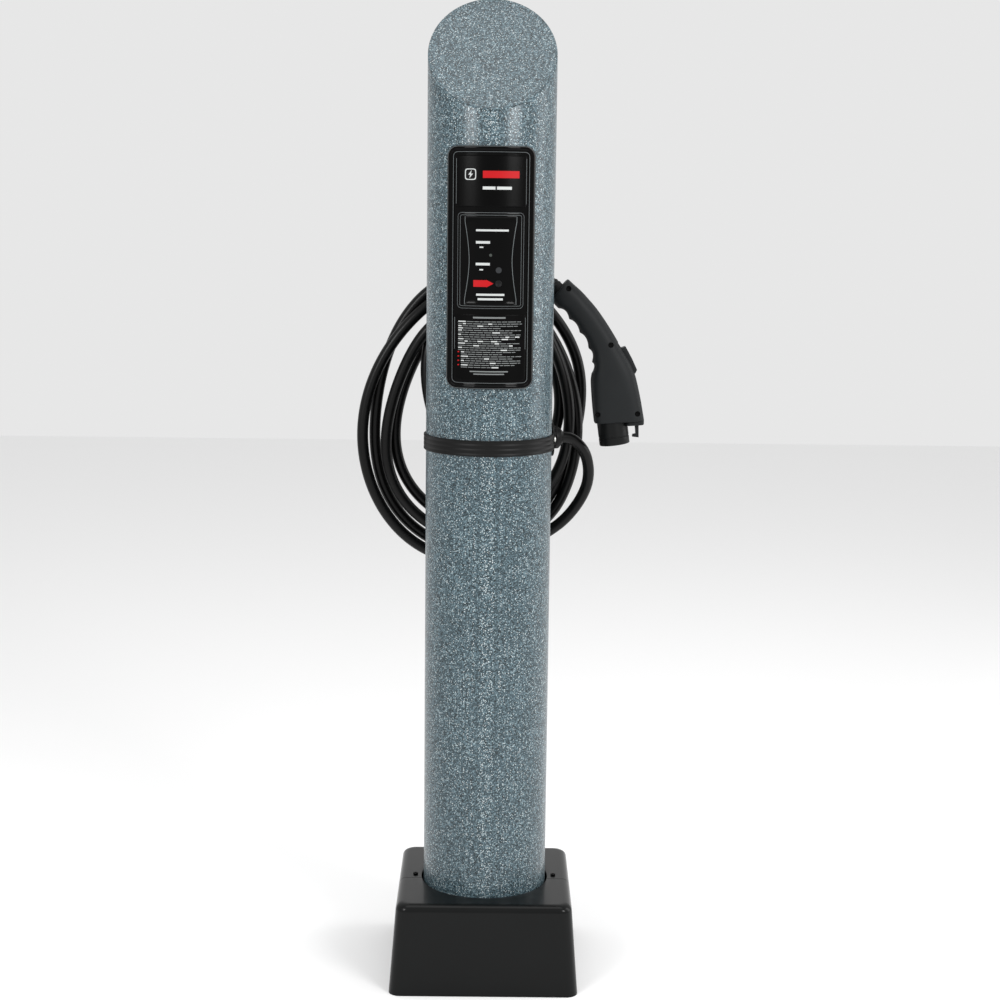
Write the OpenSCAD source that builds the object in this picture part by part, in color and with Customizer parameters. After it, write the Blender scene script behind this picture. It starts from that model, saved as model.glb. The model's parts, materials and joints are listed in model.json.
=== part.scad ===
// Electric car charging post: a steel post under a stone-speckled sleeve, with a charger let into
// its front, a coiled cable on a rear hook and a hand-held connector.
// Millimetres, +Z up, charger face towards -Y, origin at the centre of the anchor plate's underside.

/* [Post sleeve] */
// Overall height, from the anchor plate's underside to the highest point of the slanted top
post_h = 1392; // [1100:1:1700]
// Outside diameter of the sleeve
sleeve_d = 178; // [170:1:220]
// Wall of the sleeve
sleeve_wall = 5; // [4:0.5:7]
// Height difference between the front lip and the rear tip of the slanted top
slant_rise = 162; // [100:1:200]

/* [Foot] */
// Side of the square anchor plate
plate_w = 225; // [220:1:245]
// Thickness of the anchor plate
plate_t = 10; // [8:1:20]
// Distance between anchor bolt holes along each side
anchor_pitch = 180; // [170:1:190]
// Diameter of the anchor bolt holes
anchor_hole_d = 14; // [12:1:18]
// Diameter of the conduit opening
conduit_d = 54; // [40:1:60]
// How far the base cover stands out from the sleeve at the ground
cover_margin = 45; // [38:1:80]
// Height of the base cover
cover_h = 130; // [100:1:170]
// How much narrower the base cover is at its top
cover_taper = 20; // [10:1:24]
// Wall of the base cover
cover_wall = 3; // [2.5:0.5:4]

/* [Inner post] */
// Width of the steel tube
post_w = 80; // [70:1:90]
// Front-to-back size of the steel tube
post_depth = 60; // [50:1:66]
// Wall of the steel tube
post_wall = 3; // [3:0.5:5]

/* [Charger] */
// Width of the front cover across its rim
unit_w = 119; // [100:1:145]
// Height of the front cover
unit_h = 326; // [300:1:400]
// Distance from the sleeve's front lip down to the front cover's top edge
unit_drop = 48; // [40:1:100]
// Corner radius of the front cover
unit_corner = 14; // [8:1:18]
// How far the rim stands out from the sleeve
rim_proud = 5; // [4:0.5:7]
// Wall of the rear housing
housing_wall = 3; // [2:0.5:4]
// Diameter of the reset button
button_d = 9.2; // [7:0.1:11]
// Travel of the reset button
button_travel = 1.8; // [1:0.1:2]

/* [Strap and gland] */
// Distance from the front cover's bottom edge down to the strap's middle
strap_drop = 82; // [70:1:140]
// Height of the strap
strap_h = 22; // [16:1:26]
// Thickness of the strap
strap_t = 3; // [2:0.5:4]
// Angle of the gland behind the sleeve's right side
gland_angle = 27; // [20:1:40]

/* [Cable] */
// Diameter of the charging cable
cable_d = 16.5; // [14:0.5:20]
// Radial clearance round a cable in a gland
cable_gap = 0.15; // [0.1:0.05:0.3]

/* [Cable hook] */
// Radius of the hook's curved shelf
hook_r = 50; // [40:1:52]
// Front-to-back length of the shelf
hook_reach = 58; // [56:1:70]

/* [Connector] */
// Width of the connector's body across the hand
body_w = 52; // [48:1:60]
// Width of the connector's grip across the hand
grip_w = 38; // [34:1:42]
// Wall of the connector's shells
shell_wall = 3; // [2.5:0.5:3.5]
// Outside diameter of the nozzle
nozzle_d = 43.8; // [43.4:0.1:44]
// How far the nozzle stands out
nozzle_reach = 33; // [28:1:40]
// Wall of the nozzle
nozzle_wall = 2.5; // [2:0.1:3]

/* [Hidden] */

$fn = 72;
tiny = 0.02;
fit_gap = 0.1;

// Post
sleeve_r = sleeve_d / 2;
sleeve_ri = sleeve_r - sleeve_wall;
cover_w = sleeve_d + 2 * cover_margin;
// The cable's routes and the connector are drawn beside a sleeve of this radius; for a larger
// sleeve they move out by spread
drawn_r = 89;
spread = sleeve_r - drawn_r;
lip_z = post_h - slant_rise;
slant = atan(slant_rise / sleeve_d);
spacer_len = 15;
post_back_y = sleeve_ri - spacer_len - 1;
post_front_y = post_back_y - post_depth;
post_top = lip_z - 50;
conduit_y = -35;
screw_r = 3;

// Charger
unit_z = lip_z - unit_drop - unit_h;
unit_mid = unit_z + unit_h / 2;
floor_margin = 9.5;
floor_w = unit_w - 2 * floor_margin;
floor_h = unit_h - 2 * floor_margin;
window_gap = 2;
window_w = floor_w + 2 * window_gap;
window_h = floor_h + 2 * window_gap;
rim_in = sleeve_r + 1;
rim_out = sleeve_r + rim_proud;
floor_in = sleeve_r - 2;
floor_out = sleeve_r + 2;
plate_in = floor_out + fit_gap;
plate_out = floor_out + 1.6;
hood_out = floor_out + 3.1;
bracket_t = 3;
housing_back_y = post_front_y - bracket_t;
housing_w = floor_w - 4;
housing_h = floor_h - 5;
housing_r = floor_in - fit_gap;
cavity_w = housing_w - 2 * housing_wall;
cavity_h = housing_h - 2 * housing_wall;
name_z = unit_mid + 116;
name_h = 68;
hood_z = unit_mid + 10.5;
hood_h = 129;
hood_w = floor_w - 10;
label_z = unit_mid - 106.5;
label_h = 89;
power_x = 0;
power_z = unit_mid + 18;
power_r = 2;
status_x = 11;
status_z = unit_mid - 2;
status_r = 4;
button_x = 11;
button_z = unit_mid - 20;
button_r = button_d / 2;
button_gap = 0.1;
flange_r = button_r + 1.5;
flange_front = -sqrt(pow(floor_in, 2) - pow(button_x + flange_r, 2)) + 0.5;
flange_t = 1.4;
board_front = 27 - sleeve_r;
board_t = 1.6;
switch_front = board_front - 11.5;
lug_x = floor_w / 2 - 11;
lug_dz = floor_h / 2 - 22;
lug_front = 4.5 - sqrt(pow(floor_in, 2) - pow(lug_x + 6, 2));
lug_back = lug_front + 16;

// Strap and gland
strap_z = unit_z - strap_drop;
strap_in = sleeve_r + fit_gap;
strap_out = strap_in + strap_t;
flange_in = strap_out + fit_gap;
flange_out = flange_in + 3;
gland_thread_r = 12.4;
gland_hole_r = 12.8;
gland_hex_end = flange_out + 6;
cable_r = cable_d / 2;
bore_r = cable_r + cable_gap;
flange_screw_angle = 13;

// Hook
hook_top = strap_z + 211.4;
hook_axis_z = hook_top - hook_r;
hook_plate_in = sleeve_r + fit_gap;
hook_plate_out = hook_plate_in + 3.4;
hook_t = 4;
hook_end_y = hook_plate_out + hook_reach;
hook_screw_z = [hook_top - 95, hook_top - 60];
sleeve_screw_z = [260, hook_screw_z[0], hook_screw_z[1]];

// Junction box, in front of the inner post
junction_z = 300;
junction_w = 60;
junction_h = 120;
junction_d = 50;
junction_x = -20;
supply_x = -25;
supply_y = post_front_y - 38;
supply_r = 7;

// Connector, in the plane y = connector_y; heights below are measured from the strap's middle
connector_y = 62;
nozzle_r = nozzle_d / 2;
nozzle_tilt = 8;
nozzle_x = 178;
nozzle_z = strap_z + 22;
nozzle_collar_r = nozzle_r + 2.2;
insert_r = 15.5;
insert_reach = 30;
pivot_x = 206;
pivot_z = strap_z + 68;
pin_r = 2;
lever_w = 7;
button_w = 18;
slot_gap = 0.8;
// Side outline of the grip, anticlockwise from its cable end
grip_outline = [
    [84, 198], [95, 187], [107, 176], [119, 162], [130, 148], [140, 132], [147, 114], [152, 98],
    [206, 96], [198, 116], [189, 130], [179, 146], [168, 163], [158, 178], [147, 192], [128, 211],
    [111, 225], [106, 224]
];
// Side outline of the body
body_outline = [
    [145, 82], [148, 54], [152, 20], [196, 22], [203, 15], [223, 18], [223, 29], [220, 44],
    [215, 66], [209, 93], [200, 113], [189, 130], [168, 133], [150, 116], [147, 103]
];
// Outline of the latch lever: thumb button, arm, and hook
lever_outline = [
    [201, 24], [211, 18], [212.3, 5], [208, 4], [207.5, 0.5], [217, -0.5], [216.5, 18],
    [213, 24], [205, 29], [205, 44], [209.6, 60], [208.6, 76], [205, 91], [205, 96],
    [199, 110], [194, 108], [198.5, 92], [200.5, 76], [200.5, 62], [201, 44]
];
thumb_outline = [
    [189, 129], [194, 107], [201, 92.5], [209.5, 92.5], [212, 98], [204, 115], [195, 131]
];
thumb_pocket = [
    [183, 137], [183, 98], [195, 91.3], [214, 91.3], [216, 100], [199, 137]
];
// Screws: x, height, half-width of the shell there
connector_screw_places = [
    [111.5, 213.3, grip_w / 2], [173, 134, grip_w / 2], [213, 36, body_w / 2], [156, 34, body_w / 2]
];

// Charging cable, free stretches: x, y, height above the strap's middle
lead_drawn = [
    [101.6, 51.8, 0], [116, 59, -2], [130, 67, -12], [141, 76, -28], [146, 84, -48],
    [146, 91, -70], [138, 97, -94], [123, 101, -118], [104, 104, -138], [90, 106, -149]
];
tail_drawn = [
    [34, 101, 222], [50, 97, 225], [64, 89, 226], [76, 79, 223], [87, 70, 217], [96, 64, 210],
    [99, 63, 207], [104, 62, 202]
];
// The route's points that the boot covers
boot_from = 3;
boot_to = 6;
boot_wall = 3.4;
boot_tip_wall = 1.6;
boot_gap = 0.4;
lead_end = len(lead_drawn) - 1;
lead_route = [
    for (i = [0 : lead_end])
        let (t = i / lead_end, a = gland_angle)
            lead_drawn[i] + spread * [cos(a) * (1 - t), sin(a) + (1 - sin(a)) * t, 0]
];
tail_route = [
    for (i = [0 : len(tail_drawn) - 1])
        let (t = min(1, i / boot_from)) tail_drawn[i] + spread * [t, 1 - t, 0]
];
// The output cable's bared cores, from the charger down to the side gland
core_drawn = [
    [22, -32, 112], [22, -32, 84], [26, -28, 60], [36, -16, 36], [46, 2, 16], [53, 18, 4],
    [60.6, 30.9, 0], [67.7, 34.5, 0]
];
core_r = 2.4;
core_end = len(core_drawn) - 1;
core_route = [
    for (i = [0 : core_end])
        core_drawn[i] + spread * i / core_end * [cos(gland_angle), sin(gland_angle), 0]
];
cable_side = [0.1, 0.2, 1];
// Coil: the outer shape of the hanging turns
coil_x = -25;
coil_dz = 19;
coil_a = 176;
coil_b = 226;
coil_hole_x = 4;
coil_hole_dz = 64;
coil_hole_a = 95;
coil_y0 = sleeve_r + 6;
coil_t = 51;
coil_steps = 60;

// ---------- helpers ----------
function unit(v) = v / norm(v);
function turn_left(v) = [-v[1], v[0]];

// An outline moved inwards by d; its points run anticlockwise
function inset(p, d) = [
    for (i = [0 : len(p) - 1])
        let (
            a = p[(i + len(p) - 1) % len(p)],
            b = p[i],
            c = p[(i + 1) % len(p)],
            n1 = turn_left(unit(b - a)),
            n2 = turn_left(unit(c - b)),
            m = unit(n1 + n2)
        ) b + m * d / (m * n1)
];

function raised(route, dz) = [for (p = route) [p[0], p[1], p[2] + dz]];

function tangent(p, i) = unit(p[min(i + 1, len(p) - 1)] - p[max(i - 1, 0)]);

// A point on a smooth curve through the route, t from 0 at point i to 1 at point i + 1
function curve_point(p, i, t) =
    let (
        a = p[max(i - 1, 0)],
        b = p[i],
        c = p[i + 1],
        d = p[min(i + 2, len(p) - 1)]
    ) b + t * (c - a) / 2 + t * t * (a - 2.5 * b + 2 * c - d / 2)
        + t * t * t * (-a / 2 + 1.5 * b - 1.5 * c + d / 2);

// Rings of a tube swept along a path, kept from twisting by a fixed side vector; r is one radius
// or a list of one for each ring
function ring_frame(path, i, side) =
    let (t = tangent(path, i), u = unit(side - (side * t) * t)) [u, cross(t, u)];

module tube_along(path, r, sides, side) {
    n = len(path);
    points = [
        for (i = [0 : n - 1])
            let (f = ring_frame(path, i, side))
                for (k = [0 : sides - 1])
                    path[i] + (is_num(r) ? r : r[i])
                        * (cos(360 * k / sides) * f[0] + sin(360 * k / sides) * f[1])
    ];
    walls = [
        for (i = [0 : n - 2])
            for (k = [0 : sides - 1])
                let (
                    a = i * sides + k,
                    b = i * sides + (k + 1) % sides,
                    c = a + sides,
                    d = b + sides
                ) each [[a, c, d], [a, d, b]]
    ];
    first = [for (k = [0 : sides - 1]) k];
    last = [for (k = [0 : sides - 1]) n * sides - 1 - k];
    polyhedron(points, concat([first], walls, [last]), convexity = 6);
}

// The rings of a free cable come every two to three diameters
module cable_along(route, dz, r) {
    path = [
        for (i = [0 : len(route) - 2]) curve_point(route, i, 0),
        route[len(route) - 1]
    ];
    tube_along(raised(path, dz), r, 12, cable_side);
}

module tube(r_out, r_in, h) {
    difference() {
        cylinder(r = r_out, h = h);
        translate([0, 0, -1]) cylinder(r = r_in, h = h + 2);
    }
}

module rounded_rect(w, h, r) {
    square([w - 2 * r, h], center = true);
    square([w, h - 2 * r], center = true);
    for (x = [-1, 1])
        for (z = [-1, 1])
            translate([x * (w / 2 - r), z * (h / 2 - r)]) circle(r = r, $fn = 40);
}

// A flat shape, drawn as seen from the front, pushed from the axis out to the front
module to_front(z) {
    translate([0, 0, z]) rotate([90, 0, 0]) linear_extrude(height = 2 * sleeve_r) children();
}

// The part of a tube round the post's axis that a flat shape covers
module on_curve(r_in, r_out, z, h) {
    intersection() {
        translate([0, 0, z - h / 2 - 1]) tube(r_out, r_in, h + 2);
        to_front(z) children();
    }
}

module front_hole(x, z, r) {
    translate([x, 0, z]) rotate([90, 0, 0]) cylinder(r = r, h = 2 * sleeve_r);
}

// From y0 back to y1 along Y
module rod_y(x, z, r, y0, y1) {
    translate([x, y0, z]) rotate([-90, 0, 0]) cylinder(r = r, h = y1 - y0);
}

module box(lo, hi) {
    translate(lo) cube(hi - lo);
}

// A side outline of the connector, as wide as w
module slab(points, w) {
    translate([0, connector_y + w / 2, strap_z])
        rotate([90, 0, 0]) linear_extrude(height = w) polygon(points);
}

// The same with its long edges stepped back
module eased_slab(points, w) {
    step = 4;
    slab(points, w - 2 * step);
    slab(inset(points, 1.6), w - step);
    slab(inset(points, step), w);
}

module at_gland() {
    translate([0, 0, strap_z]) rotate([0, 0, gland_angle]) rotate([0, 90, 0]) children();
}

module at_nozzle() {
    translate([nozzle_x, connector_y, nozzle_z]) rotate([0, 180 - nozzle_tilt, 0]) children();
}

module beside_sleeve() {
    translate([spread, 0, 0]) children();
}

// ---------- post and foot ----------
module base_plate() {
    color("dimgray") difference() {
        linear_extrude(height = plate_t) rounded_rect(plate_w, plate_w, 10);
        for (x = [-1, 1])
            for (y = [-1, 1])
                translate([x * anchor_pitch / 2, y * anchor_pitch / 2, -1])
                    cylinder(d = anchor_hole_d, h = plate_t + 2);
        translate([0, conduit_y, -1]) cylinder(d = conduit_d, h = plate_t + 2);
    }
}

module inner_post() {
    color("slategray") difference() {
        box([-post_w / 2, post_front_y, plate_t], [post_w / 2, post_back_y, post_top]);
        box(
            [-post_w / 2 + post_wall, post_front_y + post_wall, plate_t - 1],
            [post_w / 2 - post_wall, post_back_y - post_wall, post_top + 1]
        );
        for (z = sleeve_screw_z)
            rod_y(0, z, screw_r + fit_gap, post_back_y - 2 * post_wall, post_back_y + 1);
        unit_screw_holes(post_front_y - 1, post_front_y + 2 * post_wall);
        for (z = [junction_z + 20, junction_z + junction_h - 20])
            rod_y(junction_x, z, 2.1, post_front_y - 1, post_front_y + 2 * post_wall);
    }
}

module post_gussets() {
    gusset_t = 6;
    reach = 28;
    rise = 60;
    mid = (post_front_y + post_back_y) / 2;
    color("slategray")
        for (side = [-1, 1])
            translate([0, mid + gusset_t / 2, plate_t]) rotate([90, 0, 0])
                linear_extrude(height = gusset_t)
                    polygon([
                        [side * post_w / 2, 0], [side * (post_w / 2 + reach), 0],
                        [side * (post_w / 2 + reach), 6], [side * post_w / 2, rise]
                    ]);
}

module sleeve_spacers() {
    color("silver")
        for (z = sleeve_screw_z)
            difference() {
                rod_y(0, z, 8, post_back_y, post_back_y + spacer_len);
                rod_y(0, z, screw_r + fit_gap, post_back_y - 1, post_back_y + spacer_len + 1);
            }
}

module slanted_top(drop) {
    reach = 2 * sleeve_d;
    translate([0, -sleeve_r, lip_z - drop]) rotate([slant, 0, 0])
        translate([-reach / 2, -reach / 2, 0]) cube([reach, 2 * reach, reach]);
}

module post_sleeve() {
    color("#61777f") difference() {
        translate([0, 0, plate_t]) cylinder(r = sleeve_r, h = post_h - plate_t, $fn = 96);
        slanted_top(0);
        difference() {
            translate([0, 0, plate_t - 1]) cylinder(r = sleeve_ri, h = post_h, $fn = 96);
            slanted_top(sleeve_wall / cos(slant));
        }
        to_front(unit_mid) rounded_rect(window_w, window_h, 8);
        at_gland() cylinder(r = gland_hole_r, h = 2 * sleeve_r);
        for (a = [-1, 1])
            rotate([0, 0, a * flange_screw_angle]) at_gland() cylinder(r = 2.1, h = 2 * sleeve_r);
        for (z = sleeve_screw_z) rod_y(0, z, screw_r + fit_gap, sleeve_ri - 10, sleeve_r + 5);
    }
}

module rear_screws() {
    color("silver")
        for (z = sleeve_screw_z) {
            head_y = z == sleeve_screw_z[0] ? sleeve_r + fit_gap : hook_plate_out + fit_gap;
            rod_y(0, z, screw_r, post_back_y - post_wall - 6, head_y + tiny);
            difference() {
                rod_y(0, z, 6, head_y, head_y + 3.2);
                rod_y(0, z, 2, head_y + 1.4, head_y + 4);
            }
        }
}

// Outer shape of the square base cover, moved inwards by d
module cover_shape(d) {
    low = cover_w / 2 - 16;
    high = low - cover_taper / 2;
    hull() {
        for (x = [-1, 1])
            for (y = [-1, 1]) {
                translate([x * low, y * low, d > 0 ? -1 : 0])
                    cylinder(r = 16 - d, h = 1, $fn = 32);
                translate([x * (high + 4), y * (high + 4), cover_h - 12])
                    sphere(r = 12 - d, $fn = 32);
            }
    }
}

module cover_half(front) {
    opening_r = sleeve_r + 3;
    joint_y = -14;
    far = cover_w;
    difference() {
        cover_shape(0);
        cover_shape(cover_wall);
        translate([0, 0, cover_h - 20]) cylinder(r = opening_r, h = 40);
        if (front) box([-far, joint_y, -5], [far, far, cover_h + 5]);
        if (!front) box([-far, -far, -5], [far, joint_y + 0.4, cover_h + 5]);
        if (!front) cover_screw_holes(2.3);
    }
}

module cover_screw_holes(r) {
    for (x = [-1, 1])
        translate([x * (sleeve_r + 12), 0, cover_h - 12]) cylinder(r = r, h = 20);
}

module front_base_cover() {
    tongue_top = cover_h - cover_wall - fit_gap;
    color("#17181a") {
        difference() {
            union() {
                cover_half(true);
                for (x = [-1, 1])
                    box(
                        [x * (sleeve_r + 12) - 8, -24, tongue_top - 3],
                        [x * (sleeve_r + 12) + 8, 9, tongue_top]
                    );
                for (x = [-1, 1])
                    box(
                        [x * (sleeve_r + 12) - 8, -24, tongue_top - 3],
                        [x * (sleeve_r + 12) + 8, -15, cover_h - 1]
                    );
            }
            cover_screw_holes(1.8);
        }
    }
}

module rear_base_cover() {
    color("#17181a") cover_half(false);
}

module base_cover_screws() {
    color("#202020")
        for (x = [-1, 1])
            translate([x * (sleeve_r + 12), 0, cover_h + fit_gap]) {
                translate([0, 0, -12]) cylinder(r = 1.7, h = 12 + tiny);
                difference() {
                    cylinder(r = 3.6, h = 2);
                    translate([0, 0, 0.8]) cylinder(r = 1.2, h = 2);
                }
            }
}

// ---------- strap, gland and hook ----------
module strap_band() {
    color("#1c1c1c") difference() {
        translate([0, 0, strap_z - strap_h / 2]) tube(strap_out, strap_in, strap_h);
        at_gland() cylinder(r = gland_thread_r + 4, h = 2 * sleeve_r);
        for (a = [-1, 1])
            rotate([0, 0, a * flange_screw_angle]) at_gland() cylinder(r = 2.1, h = 2 * sleeve_r);
        for (dz = [-7, 0, 7])
            translate([0, 0, strap_z + dz - 0.6]) tube(strap_out + 1, strap_out - 0.4, 1.2);
    }
}

module gland_flange() {
    color("#1c1c1c") difference() {
        intersection() {
            translate([0, 0, strap_z - 30]) tube(flange_out, flange_in, 60);
            at_gland() linear_extrude(height = 2 * sleeve_r) rounded_rect(49, 56, 12);
        }
        at_gland() cylinder(r = gland_hole_r, h = 2 * sleeve_r);
        for (a = [-1, 1])
            rotate([0, 0, a * flange_screw_angle]) at_gland() cylinder(r = 2.1, h = 2 * sleeve_r);
    }
}

module flange_screws() {
    color("silver")
        for (a = [-1, 1])
            rotate([0, 0, a * flange_screw_angle]) at_gland() {
                translate([0, 0, sleeve_ri - 3]) cylinder(r = 2, h = flange_out - sleeve_ri + 3.2);
                difference() {
                    translate([0, 0, flange_out + fit_gap]) cylinder(r = 3.8, h = 2.6);
                    translate([0, 0, flange_out + 1.4]) cylinder(r = 1.3, h = 3);
                }
            }
}

module gland_body() {
    hex_r = 17;
    color("#1c1c1c") difference() {
        union() {
            at_gland() translate([0, 0, sleeve_ri - 10])
                cylinder(r = gland_thread_r, h = flange_out - sleeve_ri + 11);
            at_gland() translate([0, 0, flange_out + fit_gap])
                cylinder(r = hex_r, h = gland_hex_end - flange_out - fit_gap, $fn = 6);
            at_gland() translate([0, 0, flange_out + 1])
                cylinder(r = gland_thread_r, h = gland_hex_end - flange_out + 6);
        }
        at_gland() cylinder(r = bore_r, h = 2 * sleeve_r);
    }
}

module gland_locknut() {
    color("#2a2a2a") at_gland() difference() {
        translate([0, 0, sleeve_ri - 8]) cylinder(r = 17, h = 6, $fn = 6);
        cylinder(r = gland_thread_r + fit_gap, h = 2 * sleeve_r);
    }
}

module gland_nut() {
    color("#222222") at_gland() difference() {
        union() {
            translate([0, 0, gland_hex_end + fit_gap]) cylinder(r = 16.5, h = 8);
            translate([0, 0, gland_hex_end + 8]) cylinder(r1 = 16.5, r2 = 11.5, h = 6);
        }
        cylinder(r = bore_r, h = 2 * sleeve_r);
        translate([0, 0, gland_hex_end - 1]) cylinder(r = gland_thread_r + fit_gap, h = 9);
    }
}

module hook_sector(r, y0, y1) {
    angle = 50;
    reach = 2 * hook_r;
    translate([0, y1, hook_axis_z]) rotate([90, 0, 0]) linear_extrude(height = y1 - y0)
        intersection() {
            circle(r = r, $fn = 96);
            polygon([
                [0, 0], [reach * sin(angle), reach * cos(angle)], [0, 1.6 * reach],
                [-reach * sin(angle), reach * cos(angle)]
            ]);
        }
}

module cable_hook() {
    lip = 34;
    color("#232323") difference() {
        union() {
            intersection() {
                translate([0, 0, hook_top - 115]) tube(hook_plate_out, hook_plate_in, 125);
                translate([0, 200, hook_top - 52.5]) rotate([90, 0, 0])
                    linear_extrude(height = 200) rounded_rect(60, 125, 12);
            }
            difference() {
                hook_sector(hook_r, hook_plate_in - 2, hook_end_y);
                hook_sector(hook_r - hook_t, hook_plate_in - 5, hook_end_y + 1);
                cylinder(r = hook_plate_in, h = post_h);
            }
            difference() {
                hook_sector(hook_r + lip, hook_end_y - hook_t, hook_end_y);
                hook_sector(hook_r - hook_t, hook_end_y - 10, hook_end_y + 1);
            }
        }
        for (z = hook_screw_z) rod_y(0, z, screw_r + fit_gap, sleeve_r - 5, hook_plate_out + 2);
    }
}

// ---------- charger ----------
module unit_screw_holes(y0, y1) {
    for (x = [-1, 1])
        for (z = [-1, 1])
            rod_y(x * 26, unit_mid + z * 125, 2.6, y0, y1);
}

module unit_bracket() {
    color("lightgray") difference() {
        box(
            [-36, housing_back_y, unit_mid - 140],
            [36, housing_back_y + bracket_t, unit_mid + 140]
        );
        unit_screw_holes(housing_back_y - 1, housing_back_y + bracket_t + 1);
        box([-15, housing_back_y - 1, unit_mid - 60], [15, housing_back_y + 9, unit_mid + 60]);
    }
}

module unit_screws() {
    color("silver")
        for (x = [-1, 1])
            for (z = [-1, 1]) {
                inside = housing_back_y - housing_wall;
                rod_y(x * 26, unit_mid + z * 125, 2.5, inside - tiny, post_front_y + post_wall + 4);
                rod_y(x * 26, unit_mid + z * 125, 4.5, inside - 3, inside);
            }
}

module rear_housing() {
    color("#2b2d2f") difference() {
        union() {
            difference() {
                intersection() {
                    box(
                        [-housing_w / 2, -sleeve_r, unit_mid - housing_h / 2],
                        [housing_w / 2, housing_back_y, unit_mid + housing_h / 2]
                    );
                    cylinder(r = housing_r, h = post_h);
                }
                box(
                    [-cavity_w / 2, -2 * sleeve_r, unit_mid - cavity_h / 2],
                    [cavity_w / 2, housing_back_y - housing_wall, unit_mid + cavity_h / 2]
                );
            }
            for (x = [-1, 1])
                for (z = [-1, 1])
                    box(
                        [
                            min(x * (lug_x - 6), x * (cavity_w / 2 + 1)), lug_front,
                            unit_mid + z * lug_dz - 7
                        ],
                        [
                            max(x * (lug_x - 6), x * (cavity_w / 2 + 1)), lug_back,
                            unit_mid + z * lug_dz + 7
                        ]
                    );
        }
        for (x = [-1, 1])
            for (z = [-1, 1])
                rod_y(x * lug_x, unit_mid + z * lug_dz, 1.95, lug_front - 1, lug_back + 1);
        unit_screw_holes(housing_back_y - housing_wall - 1, housing_back_y + 1);
        for (p = [[core_route[0][0], core_route[0][1]], [supply_x, supply_y]])
            translate([p[0], p[1], unit_mid - housing_h / 2 - 5]) cylinder(r = 11.2, h = 14);
    }
}

module control_board() {
    color("darkgreen") {
        box([-39, board_front, unit_mid - 55], [39, board_front + board_t, unit_mid + 110]);
    }
    color("black") {
        box(
            [button_x - 4, switch_front, button_z - 4],
            [button_x + 4, board_front + tiny, button_z + 4]
        );
        rod_y(power_x, power_z, 2.5, board_front - 12, board_front + tiny);
        rod_y(status_x, status_z, 3.5, board_front - 12, board_front + tiny);
        box([-34, board_front - 8, unit_mid + 50], [-4, board_front + tiny, unit_mid + 90]);
        box([4, board_front - 5, unit_mid + 60], [28, board_front + tiny, unit_mid + 84]);
        box([-35, board_front - 10, unit_mid - 50], [-15, board_front + tiny, unit_mid - 10]);
        box(
            [-30, board_front + board_t - tiny, unit_mid + 20],
            [30, board_front + board_t + 14, unit_mid + 60]
        );
    }
}

module contactor() {
    back = housing_back_y - housing_wall;
    color("#d8d4c8") box([-40, back - 45, unit_mid - 110], [14, back, unit_mid - 60]);
    color("black") box([-34, back - 50, unit_mid - 100], [8, back - 44, unit_mid - 70]);
}

module current_sensor() {
    back = housing_back_y - housing_wall;
    color("#303a66") translate([30, back - 18, unit_mid - 90]) {
        difference() {
            cylinder(r = 13, h = 14);
            translate([0, 0, -1]) cylinder(r = 6, h = 16);
        }
        box([-9, 11, 0], [9, 18, 14]);
    }
}

module terminal_block() {
    back = housing_back_y - housing_wall;
    color("#cfd3cf") difference() {
        box([-34, back - 26, unit_mid + 66], [34, back, unit_mid + 92]);
        for (i = [-2 : 2])
            rod_y(i * 13, unit_mid + 79, 3.5, back - 27, back - 14);
    }
}

module cover_gasket() {
    color("#101010") difference() {
        on_curve(sleeve_r + fit_gap, rim_in - fit_gap, unit_mid, unit_h)
            rounded_rect(unit_w - 3, unit_h - 3, unit_corner - 1.5);
        to_front(unit_mid) rounded_rect(window_w + 1, window_h + 1, 8.5);
    }
}

module front_cover() {
    boss_r = 5;
    color("#0c0c0d") difference() {
        union() {
            difference() {
                on_curve(rim_in, rim_out, unit_mid, unit_h)
                    rounded_rect(unit_w, unit_h, unit_corner);
                to_front(unit_mid) rounded_rect(floor_w - 1, floor_h - 1, 7);
            }
            on_curve(floor_in, floor_out, unit_mid, floor_h) rounded_rect(floor_w, floor_h, 7);
            intersection() {
                for (x = [-1, 1])
                    for (z = [-1, 1])
                        rod_y(x * lug_x, unit_mid + z * lug_dz, boss_r, -sleeve_r, lug_front - 0.1);
                cylinder(r = floor_out - 0.5, h = post_h);
            }
        }
        for (x = [-1, 1])
            for (z = [-1, 1]) {
                rod_y(x * lug_x, unit_mid + z * lug_dz, 2.1, -2 * sleeve_r, lug_front + 10);
                rod_y(x * lug_x, unit_mid + z * lug_dz, 3.8, -2 * sleeve_r, cover_head_back());
            }
        front_hole(power_x, power_z, power_r + button_gap);
        front_hole(status_x, status_z, status_r + button_gap);
        front_hole(button_x, button_z, button_r + button_gap);
    }
}

function cover_head_back() = -sqrt(pow(floor_out, 2) - pow(lug_x + 3.8, 2)) + 3.4;

module cover_screws() {
    head_back = cover_head_back();
    color("silver")
        for (x = [-1, 1])
            for (z = [-1, 1]) {
                rod_y(x * lug_x, unit_mid + z * lug_dz, 3.4, head_back - 2.4, head_back);
                rod_y(x * lug_x, unit_mid + z * lug_dz, 1.9, head_back - tiny, lug_back - 2);
            }
}

module name_plate() {
    color("#141415") on_curve(plate_in, plate_out, name_z, name_h)
        rounded_rect(floor_w - 4, name_h, 3);
}

// The raised hood's window, narrower at its waist
module hood_window() {
    half = hood_w / 2 - 9;
    waist = half - 5;
    top = hood_h / 2 - 8;
    polygon([
        [-half, -top], [half, -top], [half - 1, -top / 2], [waist, 0], [waist, top / 3],
        [half - 1, 0.8 * top], [half, top], [-half, top], [-half + 1, 0.8 * top],
        [-waist, top / 3], [-waist, 0], [-half + 1, -top / 2]
    ]);
}

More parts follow.
